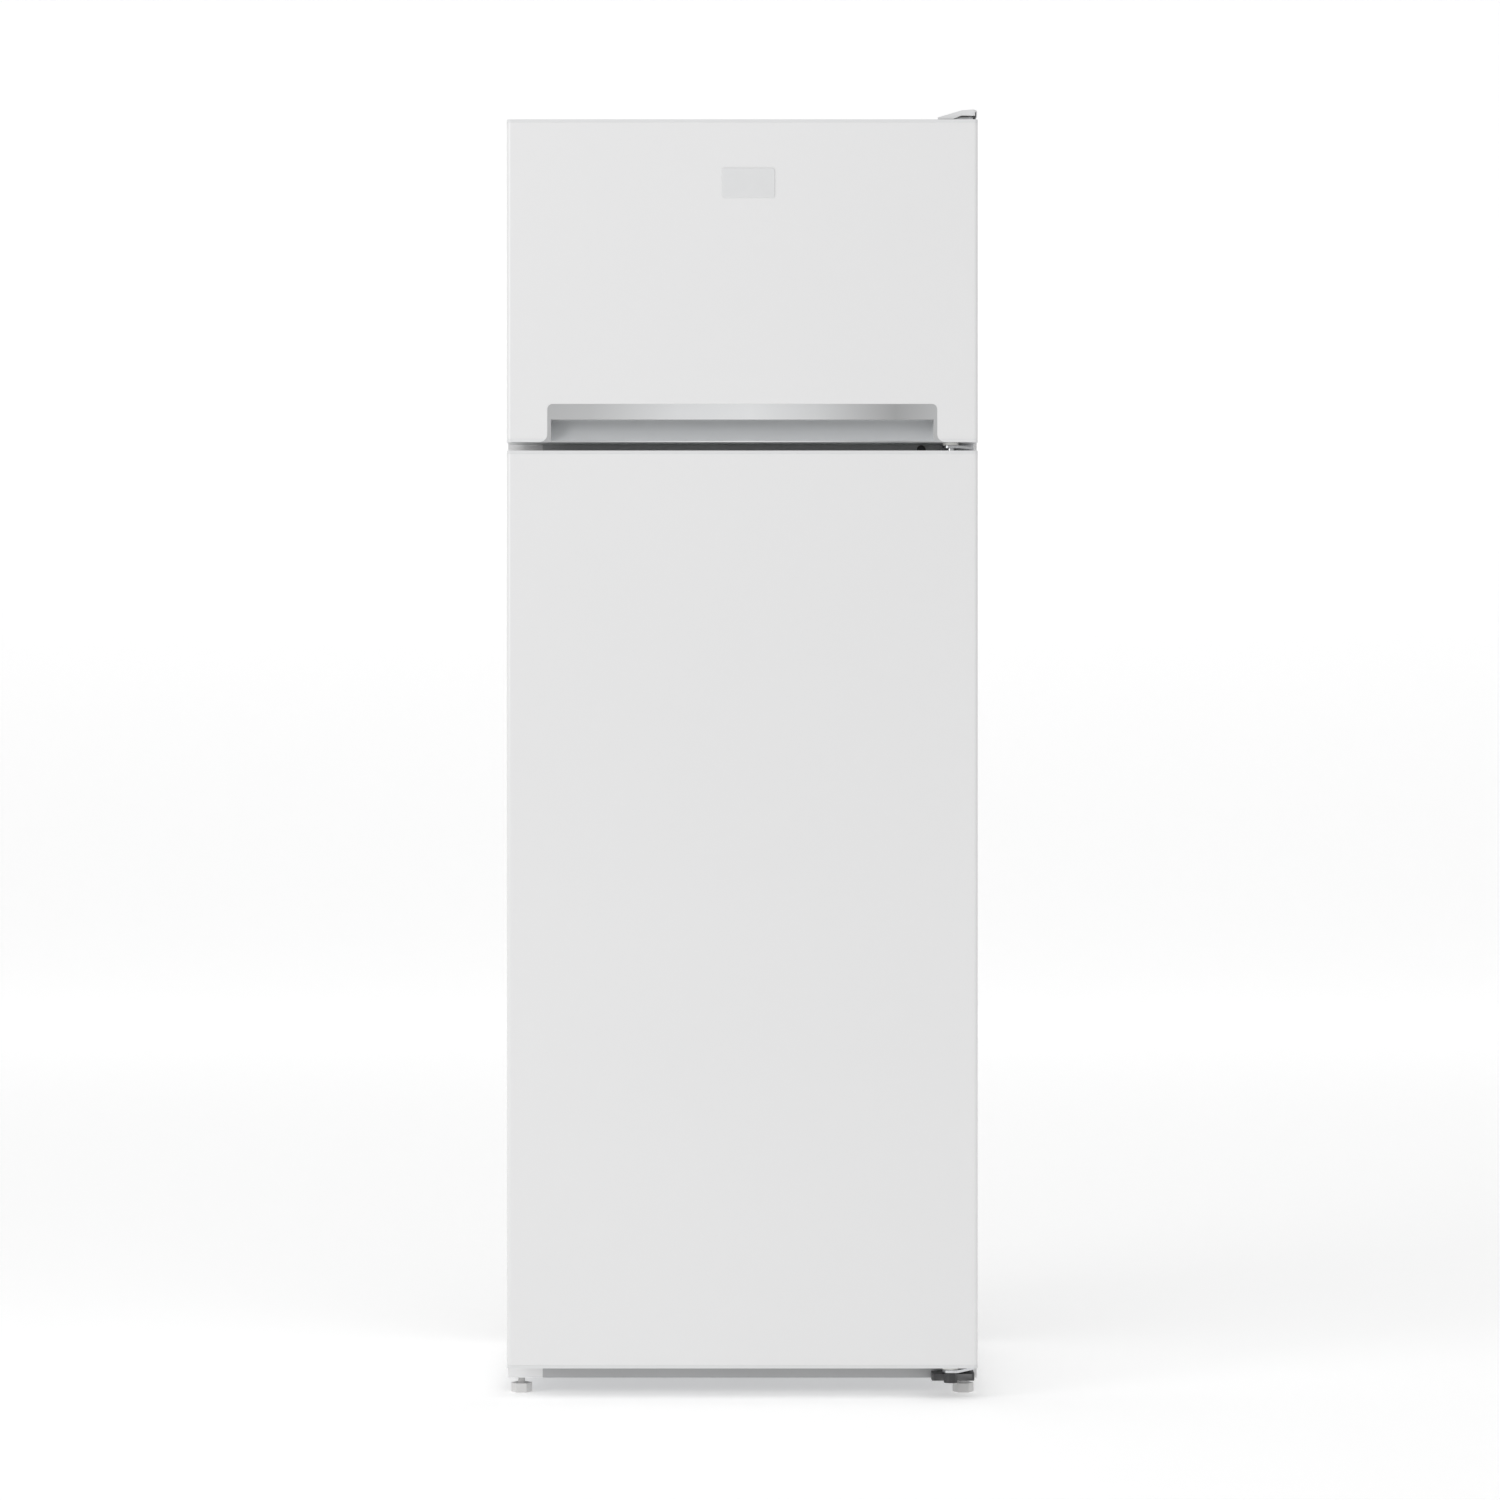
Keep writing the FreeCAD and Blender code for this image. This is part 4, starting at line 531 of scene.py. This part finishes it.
# every screw and bolt is one instance: a turned head and shank with a cross driven into it, or a
# hexagon on a washer, set at each fastener's place and facing the way it is driven from
HEAD_HIGH = 0.0016
CROSS_LONG, CROSS_WIDE, CROSS_DEEP = 0.0042, 0.0009, 0.0024
HEXAGON_HIGH = 0.0032
WASHER_THICK = 0.0008
STEM_RADIUS, STEM_LONG = 0.003, 0.027
BOLT_WIDE = 0.009               # every bolt's head is wider than this, and no screw's is
driven, entry, leave = size_tree("fasteners", {"Head": 0.0037, "Shank": 0.002, "Length": 0.012,
                                               "Bolt head": 0.006})
shank = rod(driven, 20, entry.outputs["Shank"], entry.outputs["Length"])
lower = math_node(driven, "MULTIPLY", entry.outputs["Length"], -0.5)
offset = driven.nodes.new("ShaderNodeCombineXYZ")
driven.links.new(lower, offset.inputs["Z"])
sunk = step_on(driven, "GeometryNodeTransform", shank)
driven.links.new(offset.outputs["Vector"], sunk.inputs["Translation"])
cone = driven.nodes.new("GeometryNodeMeshCone")
cone.inputs["Vertices"].default_value = 28
cone.inputs["Depth"].default_value = HEAD_HIGH
driven.links.new(entry.outputs["Shank"], cone.inputs["Radius Bottom"])
driven.links.new(entry.outputs["Head"], cone.inputs["Radius Top"])
head = step_on(driven, "GeometryNodeTransform", cone.outputs["Mesh"],
               Translation=(0, 0, -HEAD_HIGH))
cross = driven.nodes.new("GeometryNodeJoinGeometry")
for size in ((CROSS_LONG, CROSS_WIDE, CROSS_DEEP), (CROSS_WIDE, CROSS_LONG, CROSS_DEEP)):
    bar = driven.nodes.new("GeometryNodeMeshCube")
    bar.inputs["Size"].default_value = size
    driven.links.new(bar.outputs["Mesh"], cross.inputs[0])
carved = driven.nodes.new("GeometryNodeMeshBoolean")
carved.operation = "DIFFERENCE"
driven.links.new(head.outputs[0], carved.inputs["Mesh 1"])
driven.links.new(cross.outputs[0], carved.inputs["Mesh 2"])
screw = driven.nodes.new("GeometryNodeJoinGeometry")
driven.links.new(sunk.outputs[0], screw.inputs[0])
driven.links.new(carved.outputs["Mesh"], screw.inputs[0])
bolt = driven.nodes.new("GeometryNodeJoinGeometry")
seat = HEXAGON_HIGH + WASHER_THICK
for part, middle in (
        (rod(driven, 6, entry.outputs["Bolt head"], HEXAGON_HIGH), HEXAGON_HIGH / 2),
        (rod(driven, 32, entry.outputs["Bolt head"], WASHER_THICK), seat - WASHER_THICK / 2),
        (rod(driven, 20, STEM_RADIUS, STEM_LONG), seat + STEM_LONG / 2)):
    sunk = step_on(driven, "GeometryNodeTransform", part, Translation=(0, 0, -middle))
    driven.links.new(sunk.outputs[0], bolt.inputs[0])
facing = driven.nodes.new("GeometryNodeInputNamedAttribute")
facing.data_type = "FLOAT_VECTOR"
facing.inputs["Name"].default_value = "facing"
turned = driven.nodes.new("FunctionNodeAlignRotationToVector")
turned.axis = "Z"
driven.links.new(facing.outputs["Attribute"], turned.inputs["Vector"])
sort = driven.nodes.new("GeometryNodeInputNamedAttribute")
sort.data_type = "FLOAT"
sort.inputs["Name"].default_value = "is_bolt"
chosen = driven.nodes.new("FunctionNodeBooleanMath")
chosen.operation = "NOT"
driven.links.new(sort.outputs["Attribute"], chosen.inputs[0])
both_sorts = driven.nodes.new("GeometryNodeJoinGeometry")
for instance, selection in ((screw.outputs[0], chosen.outputs[0]),
                            (bolt.outputs[0], sort.outputs["Attribute"])):
    placed = step_on(driven, "GeometryNodeInstanceOnPoints", entry.outputs["Geometry"])
    driven.links.new(instance, placed.inputs["Instance"])
    driven.links.new(turned.outputs["Rotation"], placed.inputs["Rotation"])
    driven.links.new(selection, placed.inputs["Selection"])
    driven.links.new(placed.outputs[0], both_sorts.inputs[0])
finish_tree(driven, both_sorts.outputs[0], leave, bright_zinc)
spots, facings, bolts = [], [], []
for low, high in islands("screws"):
    size, centre = high - low, (low + high) / 2
    from_front = size.y > size.z
    spots.append((centre.x, low.y, centre.z) if from_front else (centre.x, centre.y, high.z))
    facings.append((0.0, -1.0, 0.0) if from_front else (0.0, 0.0, 1.0))
    bolts.append(float(size.x > BOLT_WIDE))
fastener_mesh = grown("screws", spots, [], driven, {}, {"facing": facings, "is_bolt": bolts})
stand_in("screws_piece", fastener_mesh, "screws")
nylon = finish("nylon", (0.76, 0.76, 0.73), (0.70, 0.70, 0.67), 0.45, texture=900.0, depth=0.00003)
for node in ("freezer_door_bushes", "fridge_door_bushes", "roller_left", "roller_right"):
    eased(node, 0.0005, nylon, steps=3)
dark_plastic = finish("dark_plastic", (0.035, 0.036, 0.038), (0.055, 0.056, 0.058), 0.42,
                      texture=1400.0, depth=0.00005)
for node in ("bottom_hinge_base", "blanking_plugs", "relay_box"):
    eased(node, 0.0006, dark_plastic, steps=3)

# ---------------------------------------------------------------------------------------------
# Machine bay and back: a black enamelled compressor on rubber mounts, the wire condenser hung on
# spacers, the copper lines and drier between them and the aluminium evaporators, and the drain
# tube over its pan.
# ---------------------------------------------------------------------------------------------
black_enamel = finish("compressor_enamel", (0.012, 0.012, 0.013), (0.022, 0.022, 0.024), 0.26,
                      scale=20.0, texture=260.0, depth=0.00008, dust=0.45, Coat_Weight=0.3)
eased("compressor", 0.001, black_enamel, steps=3)

# the condenser tube and the refrigerant lines follow their bends; each point carries its radius
bent, entry, leave = size_tree("bent_tubes", {"Bend": 0.02, "Sides": 12})
curve = step_on(bent, "GeometryNodeMeshToCurve", entry.outputs["Geometry"])
rounded = step_on(bent, "GeometryNodeFilletCurve", curve.outputs[0], Limit_Radius=True)
rounded.mode = "POLY"
rounded.inputs["Count"].default_value = 6
bent.links.new(entry.outputs["Bend"], rounded.inputs["Radius"])
thick = bent.nodes.new("GeometryNodeInputNamedAttribute")
thick.data_type = "FLOAT"
thick.inputs["Name"].default_value = "thick"
ring = bent.nodes.new("GeometryNodeCurvePrimitiveCircle")
ring.inputs["Radius"].default_value = 1.0
bent.links.new(entry.outputs["Sides"], ring.inputs["Resolution"])
tubed = step_on(bent, "GeometryNodeCurveToMesh", rounded.outputs[0], Fill_Caps=True)
bent.links.new(ring.outputs["Curve"], tubed.inputs["Profile Curve"])
bent.links.new(thick.outputs["Attribute"], tubed.inputs["Scale"])
finish_tree(bent, tubed.outputs[0], leave, black_enamel)

wired, entry, leave = size_tree("wire_rows", {"Wire": 0.0008, "Length": 0.98})
wire = rod(wired, 8, entry.outputs["Wire"], entry.outputs["Length"])
hung = step_on(wired, "GeometryNodeInstanceOnPoints", entry.outputs["Geometry"])
wired.links.new(wire, hung.inputs["Instance"])
finish_tree(wired, hung.outputs[0], leave, black_enamel)

low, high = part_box("condenser")
TUBE, WIRE = 0.0025, 0.0008         # radii
ROWS, PITCH = 11, 0.096
COIL_BEND, LINE_BEND = 0.024, 0.012
WIRES, WIRE_INSET = 18, 0.025       # wires on each side, and the first one's distance from the end
coil_y = (low.y + high.y) / 2
coil_half = high.x - TUBE
coil_low = low.z + 0.010
coil_top = coil_low + PITCH * (ROWS - 1)
path = []
for row in range(ROWS):
    ends = (coil_half, -coil_half) if row % 2 == 0 else (-coil_half, coil_half)
    path += [(end, coil_y, coil_low + PITCH * row) for end in ends]
tube_mesh = grown("condenser_tube", path, [(index, index + 1) for index in range(len(path) - 1)],
                  bent, {"Bend": COIL_BEND}, {"thick": [TUBE] * len(path)})
wired_width = 2 * coil_half - 2 * WIRE_INSET
wire_spots = [(-coil_half + WIRE_INSET + wired_width * index / (WIRES - 1), coil_y + side,
               (low.z + high.z) / 2)
              for index in range(WIRES) for side in (TUBE + WIRE, -TUBE - WIRE)]
wire_mesh = grown("condenser_wires", wire_spots, [], wired, {"Wire": WIRE, "Length": high.z - low.z})
both_parts = bmesh.new()
both_parts.from_mesh(tube_mesh)
both_parts.from_mesh(wire_mesh)
both_parts.to_mesh(tube_mesh)
both_parts.free()
stand_in("condenser_piece", tube_mesh, "condenser", black_enamel)
copper = finish("copper_tube", (0.62, 0.30, 0.17), (0.45, 0.20, 0.12), 0.30, spread=0.35,
                scale=45.0, texture=300.0, depth=0.00003, Metallic=1.0)

# routes of the lines, each a radius and its corners: suction from the freezer's evaporator to the
# compressor, discharge to the condenser's foot, liquid from its top to the drier, and the
# capillary from the drier to the suction line; then the drier's outline, as x and radius
SUCTION, CAPILLARY = 0.003, 0.001
SUCTION_X, SUCTION_Y = -0.160, 0.2091
DRIER_Y, DRIER_HIGH = 0.200, 0.180
LINES = (
    (SUCTION, ((SUCTION_X, 0.1909, 1.198), (SUCTION_X, SUCTION_Y, 1.198),
               (SUCTION_X, SUCTION_Y, 0.125), (SUCTION_X, 0.140, 0.125), (0.0065, 0.140, 0.125))),
    (TUBE, ((0.1263, 0.182, 0.130), (0.225, 0.182, 0.130), (0.225, coil_y, 0.130),
            (0.225, coil_y, coil_low), (coil_half, coil_y, coil_low))),
    (TUBE, ((-coil_half, coil_y, coil_top), (-0.225, coil_y, coil_top),
            (-0.225, coil_y, DRIER_HIGH), (-0.225, DRIER_Y, DRIER_HIGH),
            (-0.222, DRIER_Y, DRIER_HIGH))),
    (CAPILLARY, ((-0.1735, DRIER_Y, DRIER_HIGH), (-0.166, DRIER_Y, DRIER_HIGH),
                 (-0.166, SUCTION_Y, DRIER_HIGH), (-0.1633, SUCTION_Y, DRIER_HIGH))),
)
DRIER = ((-0.222, 0.0026), (-0.220, 0.006), (-0.214, 0.009), (-0.181, 0.009), (-0.175, 0.005),
         (-0.172, 0.0014))
points, joins, radii = [], [], []
for radius, corners in LINES:
    joins += [(len(points) + index, len(points) + index + 1) for index in range(len(corners) - 1)]
    points += corners
    radii += [radius] * len(corners)
joins += [(len(points) + index, len(points) + index + 1) for index in range(len(DRIER) - 1)]
points += [(x, DRIER_Y, DRIER_HIGH) for x, radius in DRIER]
radii += [radius for x, radius in DRIER]
line_mesh = grown("refrigerant_lines", points, joins, bent, {"Bend": LINE_BEND}, {"thick": radii})
stand_in("refrigerant_lines_piece", line_mesh, "refrigerant_lines", copper)
black_plastic = finish("black_moulding", (0.025, 0.025, 0.027), (0.04, 0.04, 0.043), 0.5,
                       texture=1100.0, depth=0.00006)
for node in ("condenser_spacers", "evaporation_pan", "drain_tube"):
    eased(node, 0.0006, black_plastic)
rubber = finish("mount_rubber", (0.02, 0.02, 0.02), (0.035, 0.035, 0.035), 0.75, texture=800.0,
                depth=0.0001)
eased("grommets", 0.0006, rubber)
plate_metal = finish("evaporator_aluminium", (0.70, 0.71, 0.72), (0.62, 0.63, 0.65), 0.35,
                     texture=200.0, depth=0.00004, Metallic=1.0)
eased("evaporators", 0.0004, plate_metal)

# ---------------------------------------------------------------------------------------------
# Levelling feet: light grey moulded hexagons on screw stems, turned by hand to level the
# cabinet's front corners.
# ---------------------------------------------------------------------------------------------
foot_plastic = finish("foot_plastic", (0.76, 0.755, 0.745), (0.71, 0.705, 0.70), 0.5,
                      texture=900.0, depth=0.00005)
for node in ("foot_left", "foot_right"):
    eased(node, 0.0008, foot_plastic, steps=3)

# ---------------------------------------------------------------------------------------------
# Room: a pale floor that curves up into the wall, soft boxes at both sides, and the camera
# square to the doors at half the refrigerator's height.
# ---------------------------------------------------------------------------------------------
door_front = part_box("fridge_door_skin")[0].y
FLOOR_HALF = 12.0
FLOOR_FRONT = -20.0
WALL_Y = 9.0
WALL_CURVE = 1.5
WALL_TOP = 9.0
CURVE_STEPS = 16
profile = [(FLOOR_FRONT, 0.0)]
for step in range(CURVE_STEPS + 1):
    turn = math.pi / 2 * step / CURVE_STEPS
    profile.append((WALL_Y - WALL_CURVE + WALL_CURVE * math.sin(turn),
                    WALL_CURVE * (1 - math.cos(turn))))
profile.append((WALL_Y, WALL_TOP))
room = bmesh.new()
left = [room.verts.new((-FLOOR_HALF, y, z)) for y, z in profile]
right = [room.verts.new((FLOOR_HALF, y, z)) for y, z in profile]
for index in range(len(profile) - 1):
    room.faces.new((left[index], right[index], right[index + 1], left[index + 1]))
room_mesh = bpy.data.meshes.new("room_mesh")
room.to_mesh(room_mesh)
room.free()
for face in room_mesh.polygons:
    face.use_smooth = True
backdrop = bpy.data.objects.new("floor_and_wall", room_mesh)
bpy.context.scene.collection.objects.link(backdrop)
paper = bpy.data.materials.new("pale_paper")
paper.use_nodes = True
paper_shader = paper.node_tree.nodes["Principled BSDF"]
paper_shader.inputs["Base Color"].default_value = (0.95, 0.95, 0.95, 1)
paper_shader.inputs["Roughness"].default_value = 0.9
paper_shader.inputs["Emission Color"].default_value = (1, 1, 1, 1)
paper_shader.inputs["Emission Strength"].default_value = 0.35
room_mesh.materials.append(paper)

DAYLIGHT = 0.5
SEEN_MORE = 0.55            # how much brighter the sky itself looks than the light it gives
world = bpy.data.worlds.new("soft_daylight")
world.use_nodes = True
sky = world.node_tree
sky.nodes["Background"].inputs["Color"].default_value = (1, 1, 1, 1)
seen_by = sky.nodes.new("ShaderNodeLightPath")
brightness = math_node(sky, "MULTIPLY_ADD", seen_by.outputs["Is Camera Ray"], SEEN_MORE, DAYLIGHT)
sky.links.new(brightness, sky.nodes["Background"].inputs["Strength"])
bpy.context.scene.world = world


def soft_box(name, where, towards, width, height, power):
    """A rectangular studio light."""
    lamp = bpy.data.lights.new(name, "AREA")
    lamp.shape = "RECTANGLE"
    lamp.size = width
    lamp.size_y = height
    lamp.energy = power
    holder = bpy.data.objects.new(name, lamp)
    holder.location = where
    holder.rotation_euler = (Vector(towards) - Vector(where)).to_track_quat("-Z", "Y").to_euler()
    bpy.context.scene.collection.objects.link(holder)


soft_box("key_light", (-3.0, -3.2, 2.0), (0, 0, 1.0), 1.6, 2.4, 36)
soft_box("fill_light", (2.8, -3.0, 1.4), (0, 0, 1.0), 1.4, 2.4, 2)
soft_box("top_light", (-0.2, -2.2, 3.4), (0, 0, 1.1), 1.8, 1.4, 10)

CAMERA_AWAY = 5.5
CAMERA_SIDE = 0.0088
CAMERA_HIGH = 0.7416
LENS_LENGTH = 115.9         # millimetres, on a sensor 36 wide
lens = bpy.data.cameras.new("camera")
lens.lens = LENS_LENGTH
lens.sensor_width = 36
lens.clip_end = 50
camera = bpy.data.objects.new("camera", lens)
camera.location = (CAMERA_SIDE, door_front - CAMERA_AWAY, CAMERA_HIGH)
camera.rotation_euler = (math.pi / 2, 0, 0)
bpy.context.scene.collection.objects.link(camera)
bpy.context.scene.camera = camera
bpy.context.scene.view_settings.view_transform = "Standard"
